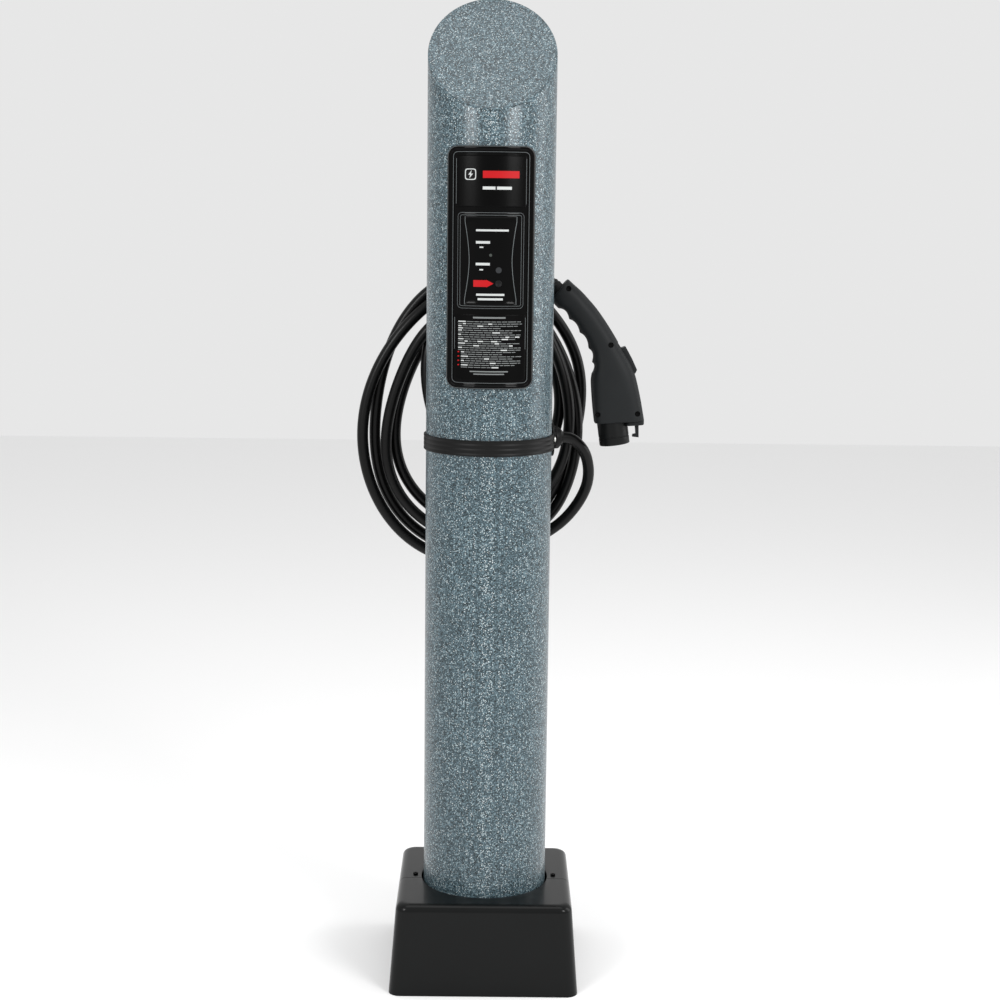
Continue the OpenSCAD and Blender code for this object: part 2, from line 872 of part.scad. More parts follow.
module display_hood() {
    color("#101011") difference() {
        union() {
            on_curve(plate_in, plate_out, hood_z, hood_h) rounded_rect(hood_w, hood_h, 5);
            difference() {
                on_curve(plate_out - tiny, hood_out, hood_z, hood_h)
                    rounded_rect(hood_w, hood_h, 5);
                to_front(hood_z) hood_window();
            }
        }
        front_hole(power_x, power_z, power_r + button_gap);
        front_hole(status_x, status_z, status_r + button_gap);
        front_hole(button_x, button_z, button_r + button_gap);
    }
}

module label_plate() {
    color("#141415") on_curve(plate_in, plate_in + 0.8, label_z, label_h)
        rounded_rect(floor_w - 2.4, label_h, 4);
}

module power_lens() {
    color("#c8d0c0") intersection() {
        front_hole(power_x, power_z, power_r);
        translate([0, 0, power_z - 10]) tube(plate_out + 0.3, floor_in + 0.5, 20);
    }
}

module status_lens() {
    color("#8a8d90") intersection() {
        front_hole(status_x, status_z, status_r);
        translate([0, 0, status_z - 10]) tube(plate_out + 0.5, floor_in + 0.5, 20);
    }
}

module reset_button() {
    cap_front = -(plate_out + 1.2);
    color("#2a2a2c") {
        rod_y(button_x, button_z, button_r, cap_front, flange_front + tiny);
        rod_y(button_x, button_z, flange_r, flange_front, flange_front + flange_t);
        rod_y(
            button_x, button_z, 1.5, flange_front + flange_t - tiny,
            switch_front - button_travel - 0.4
        );
    }
}

module button_spring() {
    turns = 5;
    steps = 14;
    wire_r = 0.4;
    front = flange_front + flange_t + wire_r + 0.05;
    back = switch_front - wire_r - 0.05;
    coil_r = 3.4;
    path = [
        for (i = [0 : turns * steps])
            [
                button_x + coil_r * cos(360 * i / steps),
                front + (back - front) * i / (turns * steps),
                button_z + coil_r * sin(360 * i / steps)
            ]
    ];
    color("silver") tube_along(path, wire_r, 6, [0, 1, 0]);
}

module unit_glands() {
    bottom = unit_mid - housing_h / 2;
    color("#1c1c1c")
        for (p = [[core_route[0][0], core_route[0][1], bore_r],
                  [supply_x, supply_y, supply_r + cable_gap]])
            translate([p[0], p[1], 0]) difference() {
                union() {
                    translate([0, 0, bottom - 14]) cylinder(r = 13.5, h = 14 - fit_gap, $fn = 6);
                    translate([0, 0, bottom - 1]) cylinder(r = 11, h = housing_wall + 4);
                    translate([0, 0, bottom + housing_wall + fit_gap])
                        cylinder(r = 13.5, h = 4, $fn = 6);
                }
                translate([0, 0, bottom - 20]) cylinder(r = p[2], h = 60);
            }
}

module output_cores() {
    for (k = [0 : 2]) {
        a = 120 * k + 90;
        side = [for (p = core_route) p + 1.18 * core_r * [cos(a), sin(a) * 0.5, sin(a)]];
        color(k == 0 ? "#1d5b2a" : "#222222") tube_along(raised(side, strap_z), core_r, 8, [1, 0, 0.3]);
    }
}

module supply_lead() {
    color("#151515") translate([supply_x, supply_y, junction_z + junction_h - 12])
        cylinder(r = supply_r, h = unit_mid - housing_h / 2 + 26 - junction_z - junction_h);
}

module junction_box() {
    wall = 3;
    lo = [junction_x - junction_w / 2, post_front_y - junction_d, junction_z];
    hi = [junction_x + junction_w / 2, post_front_y, junction_z + junction_h];
    color("#8d9194") difference() {
        union() {
            difference() {
                box(lo, hi);
                box(lo + [wall, -1, wall], hi - [wall, wall, wall]);
            }
            for (x = [-1, 1])
                for (z = [0, 1])
                    box(
                        [
                            junction_x + x * (junction_w / 2 - 5) - 4, lo[1],
                            junction_z + z * (junction_h - 9)
                        ],
                        [
                            junction_x + x * (junction_w / 2 - 5) + 4, lo[1] + 14,
                            junction_z + z * (junction_h - 9) + 9
                        ]
                    );
        }
        junction_screw_holes(1.6, lo[1] - 1, lo[1] + 12);
        translate([supply_x, supply_y, junction_z + junction_h - 10])
            cylinder(r = supply_r + cable_gap, h = 20);
        translate([supply_x, supply_y, junction_z - 5]) cylinder(r = 11, h = 20);
        for (z = [junction_z + 20, junction_z + junction_h - 20])
            rod_y(junction_x, z, 2.1, post_front_y - wall - 1, post_front_y + 1);
    }
}

module junction_screw_holes(r, y0, y1) {
    for (x = [-1, 1])
        for (z = [0, 1])
            rod_y(
                junction_x + x * (junction_w / 2 - 4.5),
                junction_z + 4.5 + z * (junction_h - 9), r, y0, y1
            );
}

module junction_lid() {
    front = post_front_y - junction_d - 3;
    color("#8d9194") difference() {
        box(
            [junction_x - junction_w / 2, front, junction_z],
            [junction_x + junction_w / 2, front + 3 - fit_gap, junction_z + junction_h]
        );
        junction_screw_holes(1.7, front - 1, front + 4);
    }
}

module junction_screws() {
    front = post_front_y - junction_d - 3;
    color("silver") {
        junction_screw_holes(1.5, front - tiny, front + 12);
        junction_screw_holes(2.8, front - 2, front - 0.05);
    }
}

// ---------- charging cable ----------
module cable_lead() {
    color("#141414") cable_along(lead_route, strap_z, cable_r);
}

module cable_tail() {
    color("#141414") cable_along(tail_route, strap_z, cable_r);
}

module cable_coil() {
    outer = [
        for (i = [0 : coil_steps - 1])
            let (a = 360 * i / coil_steps)
                [coil_x + coil_a * cos(a), coil_dz + coil_b * sin(a)]
    ];
    hole_top = hook_top - strap_z + 1.2;
    hole_b = hole_top - coil_hole_dz;
    hole = [
        for (i = [0 : coil_steps - 1])
            let (a = 360 * i / coil_steps)
                [coil_hole_x + coil_hole_a * cos(a), coil_hole_dz + hole_b * sin(a)]
    ];
    color("#141414") translate([0, coil_y0 + coil_t, strap_z]) rotate([90, 0, 0])
        linear_extrude(height = coil_t, convexity = 4) difference() {
            polygon(outer);
            polygon(hole);
        }
}

// ---------- connector ----------
function boot_middle() = raised([for (i = [boot_from : boot_to]) tail_route[i]], strap_z);

// The same, run on past both ends so that it cuts cleanly
function boot_run(extra) =
    let (p = boot_middle(), n = len(p))
        concat([p[0] + extra * unit(p[0] - p[1])], p, [p[n - 1] + extra * unit(p[n - 1] - p[n - 2])]);

module grip_boot() {
    middle_wall = (boot_tip_wall + boot_wall) / 2;
    radii = [for (w = [boot_tip_wall, middle_wall, boot_wall, boot_wall]) cable_r + w];
    color("#141414") difference() {
        tube_along(boot_middle(), radii, 16, cable_side);
        tube_along(boot_run(3), cable_r + boot_gap, 12, cable_side);
    }
}

module connector_solid() {
    eased_slab(grip_outline, grip_w);
    eased_slab(body_outline, body_w);
}

module connector_hollow() {
    slab(inset(grip_outline, shell_wall), grip_w - 2 * shell_wall - 4);
    slab(inset(body_outline, shell_wall), body_w - 2 * shell_wall - 4);
}

module screw_bosses() {
    for (p = connector_screw_places)
        rod_y(p[0], strap_z + p[1], 4, connector_y - p[2] + 1, connector_y + p[2] - 1);
}

// A rib that the latch spring pushes against
module spring_seat() {
    slab([[179.5, 98], [184, 98], [184, 110], [179.5, 110]], body_w - 6);
}

module pivot_bosses() {
    for (s = [-1, 1])
        translate([0, connector_y + s * (lever_w / 2 + slot_gap / 2 + 10.2), 0])
            rod_y(pivot_x, pivot_z, 4.4, -10, 10);
}

module connector_cuts() {
    // nozzle, thumb button, hook and cable openings, pivot and screw holes
    at_nozzle() translate([0, 0, -8]) cylinder(r = nozzle_r + fit_gap, h = 60);
    at_nozzle() translate([0, 0, -8]) cylinder(r = nozzle_collar_r + fit_gap, h = 4.1);
    slab(thumb_pocket, button_w + 1.2);
    slab([[199, 26], [199, -5], [226, -5], [226, 26]], lever_w + 2 * slot_gap);
    rod_y(pivot_x, pivot_z, pin_r + 0.02, connector_y - 22, connector_y + 22);
    for (p = connector_screw_places) {
        front = connector_y - p[2];
        rod_y(p[0], strap_z + p[1], 1.9, front, connector_y + p[2] - 4);
        rod_y(p[0], strap_z + p[1], 3.6, front - 1, front + 5);
    }
}

module connector_shell(front) {
    difference() {
        beside_sleeve() union() {
            difference() {
                connector_solid();
                connector_hollow();
            }
            intersection() {
                connector_solid();
                union() {
                    screw_bosses();
                    pivot_bosses();
                    spring_seat();
                }
            }
        }
        beside_sleeve() connector_cuts();
        boot_cut();
        far = 400;
        if (front) box([-far, connector_y, -far], [far, far, 2 * post_h]);
        if (!front) box([-far, -far, -far], [far, connector_y + 0.05, 2 * post_h]);
    }
}

module boot_cut() {
    tube_along(boot_run(6), cable_r + boot_wall + 0.3, 16, cable_side);
}

module connector_front_shell() {
    color("#1e1f21") connector_shell(true);
}

module connector_rear_shell() {
    color("#1e1f21") connector_shell(false);
}

module connector_nozzle() {
    color("#1a1a1b") beside_sleeve() at_nozzle() difference() {
        union() {
            translate([0, 0, -7]) cylinder(r = nozzle_r, h = nozzle_reach + 7);
            difference() {
                translate([0, 0, -7]) cylinder(r = nozzle_collar_r, h = 3);
                translate([-60, -50, -8]) cube([38.4, 100, 10]);
            }
        }
        translate([0, 0, -8]) cylinder(r = nozzle_r - nozzle_wall, h = nozzle_reach + 20);
    }
}

// x and y on the contact face, and hole radius, of the two power, earth and two signal contacts
contacts = [[-7.5, 4.5, 2.4], [7.5, 4.5, 2.4], [0, -8.5, 2], [-7.8, -4.6, 1.4], [7.8, -4.6, 1.4]];

module contact_insert() {
    color("#232325") beside_sleeve() at_nozzle() difference() {
        union() {
            translate([0, 0, -5]) cylinder(r = nozzle_r - nozzle_wall - 0.05, h = 6);
            cylinder(r = insert_r, h = insert_reach);
        }
        for (c = contacts)
            translate([c[0], c[1], -8]) cylinder(r = c[2], h = insert_reach + 12);
    }
}

module contact_sleeves() {
    color("goldenrod") beside_sleeve() at_nozzle()
        for (c = contacts)
            translate([c[0], c[1], -9]) difference() {
                cylinder(r = c[2] - 0.05, h = insert_reach + 6);
                translate([0, 0, 6]) cylinder(r = c[2] - 0.6, h = insert_reach + 6);
            }
}

module latch_lever() {
    color("#26282a") beside_sleeve() difference() {
        union() {
            slab(lever_outline, lever_w);
            slab(thumb_outline, button_w);
            rod_y(pivot_x, pivot_z, 5, connector_y - lever_w / 2, connector_y + lever_w / 2);
        }
        rod_y(pivot_x, pivot_z, pin_r + 0.06, connector_y - 30, connector_y + 30);
    }
}

module latch_pin() {
    color("silver") beside_sleeve()
        rod_y(pivot_x, pivot_z, pin_r, connector_y - 20, connector_y + 20);
}

module latch_spring() {
    turns = 5;
    steps = 12;
    wire_r = 0.5;
    start = 183.6;
    end = 194.4;
    path = [
        for (i = [0 : turns * steps])
            [
                start + (end - start) * i / (turns * steps),
                connector_y + 4 * cos(360 * i / steps),
                strap_z + 104 + 4 * sin(360 * i / steps)
            ]
    ];
    color("silver") beside_sleeve() tube_along(path, wire_r, 6, [1, 0, 0]);
}

module proximity_switch() {
    color("#3a1f1f") beside_sleeve() slab([[176, 92], [186, 92], [186, 74], [176, 74]], 12);
}

module connector_screws() {
    color("#3c3c3e") beside_sleeve()
        for (p = connector_screw_places) {
            front = connector_y - p[2];
            rod_y(p[0], strap_z + p[1], 1.8, front + 4, connector_y + p[2] - 5);
            difference() {
                rod_y(p[0], strap_z + p[1], 3.3, front + 2, front + 4.9);
                rod_y(p[0], strap_z + p[1], 1.3, front + 1, front + 3.4);
            }
        }
}

base_plate();
inner_post();
post_gussets();
sleeve_spacers();
post_sleeve();
rear_screws();
front_base_cover();
rear_base_cover();
base_cover_screws();
strap_band();
gland_flange();
flange_screws();
gland_body();
gland_locknut();
gland_nut();
cable_hook();
unit_bracket();
unit_screws();
rear_housing();
control_board();
contactor();
current_sensor();
terminal_block();
cover_gasket();
front_cover();
cover_screws();
name_plate();
display_hood();
label_plate();
power_lens();
status_lens();
reset_button();
button_spring();
unit_glands();
output_cores();
supply_lead();
junction_box();
junction_lid();
junction_screws();
cable_lead();
cable_coil();
cable_tail();
grip_boot();
connector_front_shell();
connector_rear_shell();
connector_nozzle();
contact_insert();
contact_sleeves();
latch_lever();
latch_pin();
latch_spring();
proximity_switch();
connector_screws();
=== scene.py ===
# %% [markdown]
# # An electric car charging post
#
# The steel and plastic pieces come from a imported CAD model. This lesson dresses it: a speckled
# sleeve with a slanted top, a gloss charger face, a moulded foot, a coiled cable and a plug with a
# shaped grip. Lengths are written in millimetres and turned to metres once, in one helper.

# %% Load the frame
import contextlib
import json
import math

import bmesh
import bpy
import numpy as np
from mathutils import Matrix, Vector

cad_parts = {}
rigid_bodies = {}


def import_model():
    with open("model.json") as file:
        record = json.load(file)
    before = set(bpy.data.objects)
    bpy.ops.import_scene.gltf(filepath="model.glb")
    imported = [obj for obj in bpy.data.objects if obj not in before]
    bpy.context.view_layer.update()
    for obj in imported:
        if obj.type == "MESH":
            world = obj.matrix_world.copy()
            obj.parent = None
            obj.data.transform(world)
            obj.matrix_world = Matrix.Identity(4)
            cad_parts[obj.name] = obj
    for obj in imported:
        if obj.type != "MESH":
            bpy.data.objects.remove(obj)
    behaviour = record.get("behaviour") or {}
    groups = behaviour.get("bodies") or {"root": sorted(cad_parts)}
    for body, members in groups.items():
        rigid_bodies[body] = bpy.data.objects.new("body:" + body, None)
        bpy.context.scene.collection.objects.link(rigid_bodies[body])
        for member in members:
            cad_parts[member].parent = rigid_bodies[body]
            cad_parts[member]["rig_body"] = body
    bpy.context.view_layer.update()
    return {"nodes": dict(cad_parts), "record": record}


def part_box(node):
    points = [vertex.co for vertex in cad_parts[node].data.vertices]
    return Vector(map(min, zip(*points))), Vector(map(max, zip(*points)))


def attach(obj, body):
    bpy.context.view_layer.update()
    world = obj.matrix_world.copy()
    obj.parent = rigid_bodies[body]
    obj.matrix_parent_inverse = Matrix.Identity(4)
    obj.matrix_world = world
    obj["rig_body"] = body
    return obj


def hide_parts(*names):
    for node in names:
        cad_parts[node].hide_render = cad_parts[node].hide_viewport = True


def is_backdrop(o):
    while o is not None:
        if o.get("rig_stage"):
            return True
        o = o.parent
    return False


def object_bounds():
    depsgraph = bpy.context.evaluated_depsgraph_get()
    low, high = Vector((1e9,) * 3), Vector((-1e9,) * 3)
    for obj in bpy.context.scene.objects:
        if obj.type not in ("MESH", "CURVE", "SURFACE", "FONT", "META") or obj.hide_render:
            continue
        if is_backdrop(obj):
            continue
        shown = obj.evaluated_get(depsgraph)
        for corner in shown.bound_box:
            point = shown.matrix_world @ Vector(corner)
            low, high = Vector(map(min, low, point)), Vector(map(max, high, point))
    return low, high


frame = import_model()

MM = 0.001
BODY = "post"
scene = bpy.context.scene
scene.view_settings.view_transform = "Standard"


def box_mm(node):
    """Lowest and highest corner of a CAD node, in millimetres."""
    low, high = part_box(node)
    return np.array(low) / MM, np.array(high) / MM


def linked(name, data):
    """A new object of data, in the scene."""
    made = bpy.data.objects.new(name, data)
    scene.collection.objects.link(made)
    return made


@contextlib.contextmanager
def edited(mesh):
    """A bmesh of mesh to work on, written back at the end."""
    work = bmesh.new()
    work.from_mesh(mesh)
    yield work
    work.to_mesh(mesh)
    work.free()


sleeve_low, sleeve_high = box_mm("post_sleeve")
cover_low, cover_high = box_mm("front_cover")
strap_low, strap_high = box_mm("strap_band")
SLEEVE_R = sleeve_high[0]
POST_TOP = sleeve_high[2]
STRAP_Z = (strap_low[2] + strap_high[2]) / 2
FACE_Z = (cover_low[2] + cover_high[2]) / 2
print(f"sleeve radius {SLEEVE_R:.1f} mm, top {POST_TOP:.0f} mm, strap at {STRAP_Z:.0f} mm")

# %% [markdown]
# ## Camera
#
# A portrait of a tall object wants a long lens from some way off, so that its sides stay nearly
# parallel. The camera is near the height of the charger and tilts down a little, which shows the
# top of the foot. Its turn is made from three plain rotations: heading, tilt and a slight roll.

# %% Camera
camera_data = bpy.data.cameras.new("camera")
camera_data.lens = 65.98
camera_data.sensor_width = 36
camera = linked("camera", camera_data)
TILT, HEADING, ROLL = 9.19, 0.31, 0.66
camera.matrix_world = (
    Matrix.Translation((0.0029, -2.5765, 1.1058))
    @ Matrix.Rotation(math.radians(-HEADING), 4, "Z")
    @ Matrix.Rotation(math.radians(90 - TILT), 4, "X")
    @ Matrix.Rotation(math.radians(ROLL), 4, "Z")
)
scene.camera = camera
print("camera at", [round(x, 3) for x in camera.location])

# %% [markdown]
# ## Helpers for meshes
#
# Most pieces here are lofts: rings of points, one after another, with faces between neighbours.
# A lathe is a loft whose rings are circles, and a cable is a loft along a path. One function makes
# the faces, and one turns points into an object at the origin. Outlines with squarish corners are
# superellipses, and places between known points come from a Catmull-Rom curve.


# %% Mesh helpers
def piece(name, points, faces, material, body=BODY, sharp=32):
    """A mesh object at the origin from points in mm, smooth apart from edges over sharp."""
    mesh = bpy.data.meshes.new(name)
    mesh.from_pydata((np.array(points) * MM).tolist(), [], faces)
    mesh.validate()
    with edited(mesh) as work:
        bmesh.ops.remove_doubles(work, verts=work.verts, dist=1e-6)
        bmesh.ops.recalc_face_normals(work, faces=work.faces)
    return finish_mesh(name, mesh, material, body, sharp)


def finish_mesh(name, mesh, material, body=BODY, sharp=32):
    """An object of a finished mesh in one material, smooth shaded, that rides on body."""
    made = linked(name, mesh)
    mesh.materials.clear()
    mesh.materials.append(material)
    for polygon in mesh.polygons:
        polygon.use_smooth = True
        polygon.material_index = 0
    mesh.set_sharp_from_angle(angle=math.radians(sharp))
    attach(made, body)
    return made


def loft_faces(rings, count, closed_ring=True, closed_loft=False, first=0):
    """Quads between rings of count points each, numbered from first."""
    faces = []
    last = rings if closed_loft else rings - 1
    for i in range(last):
        for k in range(count if closed_ring else count - 1):
            a = first + i * count + k
            b = first + i * count + (k + 1) % count
            c = first + ((i + 1) % rings) * count + (k + 1) % count
            d = first + ((i + 1) % rings) * count + k
            faces.append((a, b, c, d))
    return faces


def lathe(profile, steps=64):
    """Points and faces of a profile of (radius, height) turned about Z, closed on itself."""
    points = [
        (r * math.cos(2 * math.pi * k / steps), r * math.sin(2 * math.pi * k / steps), h)
        for r, h in profile
        for k in range(steps)
    ]
    return points, loft_faces(len(profile), steps, closed_loft=True)


def prism_faces(count):
    """Two end caps and the sides between them, for count points at each end."""
    ends = [tuple(range(count)), tuple(range(2 * count - 1, count - 1, -1))]
    return ends + loft_faces(2, count)


def superellipse(steps, square):
    """Points round a shape of half-size 1: square 2 is a circle, and more is squarer."""
    ring = []
    for k in range(steps):
        a = 2 * math.pi * k / steps
        c, s = math.cos(a), math.sin(a)
        ring.append((math.copysign(abs(c) ** (2 / square), c),
                     math.copysign(abs(s) ** (2 / square), s)))
    return ring


def curve_through(points, between):
    """A Catmull-Rom curve through points, with between steps from each to the next."""
    p = np.array(points, float)
    p = np.vstack([2 * p[0] - p[1], p, 2 * p[-1] - p[-2]])
    curve = []
    for i in range(1, len(p) - 2):
        a, b, c, d = p[i - 1 : i + 3]
        for t in np.linspace(0, 1, between, endpoint=False):
            curve.append(b + t * (c - a) / 2 + t * t * (a - 2.5 * b + 2 * c - d / 2)
                         + t**3 * (-a / 2 + 1.5 * b - 1.5 * c + d / 2))
    return np.vstack([curve, p[-2]])


def evaluated_mesh(obj):
    """The mesh that an object's modifiers make, as a plain mesh."""
    bpy.context.view_layer.update()
    evaluated = obj.evaluated_get(bpy.context.evaluated_depsgraph_get())
    return bpy.data.meshes.new_from_object(evaluated)


def placed(points, matrix):
    """Points moved by a 4x4 matrix that works in millimetres."""
    return [tuple(matrix @ Vector(p)) for p in points]


def cut(obj, *cutters):
    """Takes cutters out of obj and deletes them."""
    for cutter in cutters:
        modifier = obj.modifiers.new("cut", "BOOLEAN")
        modifier.operation = "DIFFERENCE"
        modifier.solver = "EXACT"
        modifier.object = cutter
    mesh = evaluated_mesh(obj)
    obj.modifiers.clear()
    old = obj.data
    obj.data = mesh
    bpy.data.meshes.remove(old)
    for cutter in cutters:
        bpy.data.objects.remove(cutter)
    mesh.set_sharp_from_angle(angle=math.radians(32))
    return obj


def cutter(points, faces):
    """An unseen solid for cut()."""
    mesh = bpy.data.meshes.new("cutter")
    mesh.from_pydata((np.array(points) * MM).tolist(), [], faces)
    with edited(mesh) as work:
        bmesh.ops.recalc_face_normals(work, faces=work.faces)
    return linked("cutter", mesh)


def rod(start, direction, radius, length, steps=40):
    """A cutter: a round rod from start along direction."""
    turn = Vector(direction).to_track_quat("Z", "Y").to_matrix().to_4x4()
    place = Matrix.Translation(start) @ turn
    ring = [2 * math.pi * k / steps for k in range(steps)]
    points = [(radius * math.cos(a), radius * math.sin(a), h) for h in (0, length) for a in ring]
    return cutter(placed(points, place), prism_faces(steps))


def softened(node, material, width=0.5, sharp=32):
    """A copy of a CAD node with its sharp edges rounded by width, standing for the node."""
    source = frame["nodes"][node]
    mesh = source.data.copy()
    with edited(mesh) as work:
        bmesh.ops.remove_doubles(work, verts=work.verts, dist=2e-5)
        bmesh.ops.dissolve_limit(work, angle_limit=math.radians(0.7), verts=work.verts,
                                 edges=work.edges)
    made = linked(node + "_finished", mesh)
    bevel = made.modifiers.new("round", "BEVEL")
    bevel.width = width * MM
    bevel.segments = 2
    bevel.limit_method = "ANGLE"
    bevel.angle_limit = math.radians(35)
    bevel.use_clamp_overlap = True
    bevel.harden_normals = False
    rounded = evaluated_mesh(made)
    bpy.data.objects.remove(made)
    done = finish_mesh(node + "_finished", rounded, material, source["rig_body"], sharp)
    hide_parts(node)
    return done


# %% [markdown]
# ## Materials
#
# Every finish here is a shader tree. A hex colour is what a person reads off a sample card, so one
# function turns it to the linear light that the renderer adds up. Patterns read the Object
# coordinates in metres, so a grain of 2 mm has a texture scale of 1000 / 2.


# %% Material helpers
def linear(hex_colour):
    """A colour such as #5f7780 as linear red, green, blue and alpha."""
    values = [int(hex_colour[i : i + 2], 16) / 255 for i in (1, 3, 5)]
    return [v / 12.92 if v <= 0.04045 else ((v + 0.055) / 1.055) ** 2.4 for v in values] + [1]


def add(tree, kind, wires=None, props=None, stops=None, **values):
    """Adds one node, with its properties, its colour stops, its values and its incoming wires."""
    node = tree.nodes.new(kind)
    for key, value in (props or {}).items():
        setattr(node, key, value)
    for key, value in values.items():
        node.inputs[key.replace("_", " ")].default_value = value
    if stops:
        while len(node.color_ramp.elements) > 1:
            node.color_ramp.elements.remove(node.color_ramp.elements[-1])
        for i, (place, colour) in enumerate(stops):
            element = node.color_ramp.elements[0] if i == 0 else node.color_ramp.elements.new(place)
            element.position = place
            element.color = linear(colour) if isinstance(colour, str) else [colour] * 3 + [1]
    for key, (source, output) in (wires or {}).items():
        tree.links.new(source.outputs[output], node.inputs[key])
    return node


def calc(tree, operation, *inputs):
    """One Math node; each input is a number, or another node and its output."""
    wires = {i: value for i, value in enumerate(inputs) if isinstance(value, tuple)}
    node = add(tree, "ShaderNodeMath", wires, {"operation": operation})
    for i, value in enumerate(inputs):
        if i not in wires:
            node.inputs[i].default_value = value
    return node


def noise(tree, where, scale, detail, **values):
    """A noise texture that reads coordinates from where."""
    return add(tree, "ShaderNodeTexNoise", {"Vector": where}, Scale=scale, Detail=detail,
               **values)


def feed(tree, shader, **wires):
    """Wires the outputs of nodes into a shader's inputs."""
    for key, (source, output) in wires.items():
        tree.links.new(source.outputs[output], shader.inputs[key.replace("_", " ")])


def new_material(name, **sockets):
    """A material with one Principled shader; returns the material, its tree and the shader."""
    material = bpy.data.materials.new(name)
    material.use_nodes = True
    tree = material.node_tree
    shader = tree.nodes["Principled BSDF"]
    for key, value in sockets.items():
        shader.inputs[key.replace("_", " ")].default_value = value
    return material, tree, shader


def moulded(name, colour, roughness, grain=0.8, depth=0.03, spread=0.25, coat=0.0, mirror=0.15):
    """Injection-moulded plastic: a fine spark-eroded grain, slight tone change, smoother rubs."""
    material, tree, shader = new_material(name, IOR=1.5, Coat_Weight=coat, Coat_Roughness=0.08,
                                          Coat_IOR=1.3)
    shader.inputs["Specular IOR Level"].default_value = mirror
    place = add(tree, "ShaderNodeTexCoord")
    grit = noise(tree, (place, "Object"), 1 / (grain * MM), 3.0, Roughness=0.6)
    cloud = noise(tree, (place, "Object"), 14.0, 4.0)
    light = [c * (1 + spread) for c in linear(colour)[:3]] + [1]
    dark = [c * (1 - spread) for c in linear(colour)[:3]] + [1]
    mix = add(tree, "ShaderNodeMix", {"Factor": (cloud, "Fac")}, {"data_type": "RGBA"})
    mix.inputs[6].default_value = dark
    mix.inputs[7].default_value = light
    shine = add(tree, "ShaderNodeMapRange", {"Value": (cloud, "Fac")}, To_Min=roughness * 0.85,
                To_Max=roughness * 1.15)
    bump = add(tree, "ShaderNodeBump", {"Height": (grit, "Fac")}, Distance=depth * MM, Strength=0.6)
    feed(tree, shader, Base_Color=(mix, 2), Roughness=(shine, "Result"), Normal=(bump, "Normal"))
    return material


def plated(name, colour, roughness, scratch=0.35, bright="#e8e8e4"):
    """Bare or plated metal: fine drawing lines in its roughness and a little cloudiness."""
    material, tree, shader = new_material(name, Metallic=1.0)
    place = add(tree, "ShaderNodeTexCoord")
    stretch = add(tree, "ShaderNodeMapping", {"Vector": (place, "Object")}, Scale=(1, 1, 14))
    lines = noise(tree, (stretch, "Vector"), 180.0, 3.0)
    tone = add(tree, "ShaderNodeValToRGB", {"Fac": (lines, "Fac")},
               stops=[(0.25, colour), (0.8, bright)])
    shine = add(tree, "ShaderNodeMapRange", {"Value": (lines, "Fac")}, To_Min=roughness,
                To_Max=roughness + scratch)
    feed(tree, shader, Base_Color=(tone, "Color"), Roughness=(shine, "Result"))
    return material


# %% [markdown]
# The sleeve is rotationally moulded polyethylene that copies granite: tiny flakes of several tones
# in a blue-grey base. A Voronoi texture gives each flake one random number, and a colour ramp turns
# that number into a tone. A little noise in the coordinates roughens the flakes' outlines, and a
# second layer of scattered pale points gives the sparkle. Real flakes run from dust to about 2 mm,
# and only the coarse ones are drawn.


# %% Speckled polyethylene
FLAKE = 1.4 * MM
SPARKLE = 1.8 * MM
SPARKLE_SHARE = 0.22


def speckled_polyethylene():
    """Flakes of several tones with pale points among them, under a thin gloss skin."""
    material, tree, shader = new_material("speckled_polyethylene", IOR=1.51, Coat_Weight=0.5,
                                          Coat_Roughness=0.2, Coat_IOR=1.4)
    place = add(tree, "ShaderNodeTexCoord")
    wobble = noise(tree, (place, "Object"), 1 / FLAKE, 2.0)
    shift = add(tree, "ShaderNodeVectorMath", {0: (wobble, "Color")}, {"operation": "SCALE"},
                Scale=0.8 * MM)
    moved = add(tree, "ShaderNodeVectorMath", {0: (place, "Object"), 1: (shift, "Vector")})
    flake = add(tree, "ShaderNodeTexVoronoi", {"Vector": (moved, "Vector")}, Scale=1 / FLAKE)
    tone = add(tree, "ShaderNodeValToRGB", {"Fac": (flake, "Color")},
               stops=[(0.0, "#0b1114"), (0.22, "#1a2528"), (0.45, "#33434a"), (0.65, "#475a62"),
                      (0.82, "#657a82"), (0.95, "#a0afb2")])
    point = add(tree, "ShaderNodeTexVoronoi", {"Vector": (moved, "Vector")}, Scale=1 / SPARKLE)
    pick = add(tree, "ShaderNodeSeparateColor", {"Color": (point, "Color")})
    chosen = calc(tree, "GREATER_THAN", (pick, "Green"), 1 - SPARKLE_SHARE)
    near = calc(tree, "LESS_THAN", (point, "Distance"), 0.3)
    both = calc(tree, "MULTIPLY", (chosen, 0), (near, 0))
    pale = add(tree, "ShaderNodeMix", {"Factor": (both, 0)}, {"data_type": "RGBA"})
    pale.inputs[7].default_value = linear("#cdd5d6")
    tree.links.new(tone.outputs["Color"], pale.inputs[6])
    cloud = noise(tree, (place, "Object"), 16.0, 3.0)
    soft = add(tree, "ShaderNodeMapRange", {"Value": (cloud, "Fac")}, To_Min=0.86, To_Max=1.12)
    whole = add(tree, "ShaderNodeVectorMath", {0: (pale, 2), "Scale": (soft, "Result")},
                {"operation": "SCALE"})
    shader.inputs["Roughness"].default_value = 0.42
    shader.inputs["Specular IOR Level"].default_value = 0.25
    bump = add(tree, "ShaderNodeBump", {"Height": (wobble, "Fac")}, Distance=0.06 * MM,
               Strength=0.5)
    feed(tree, shader, Base_Color=(whole, "Vector"), Normal=(bump, "Normal"))
    return material


# %% [markdown]
# The cable's jacket is a soft thermoplastic that is pushed through a round die, so its marks run
# along it: a faint draw line, and a slow change of tone where it was handled. The pattern follows
# the cable's own UV map, with U round it and V along it in metres.


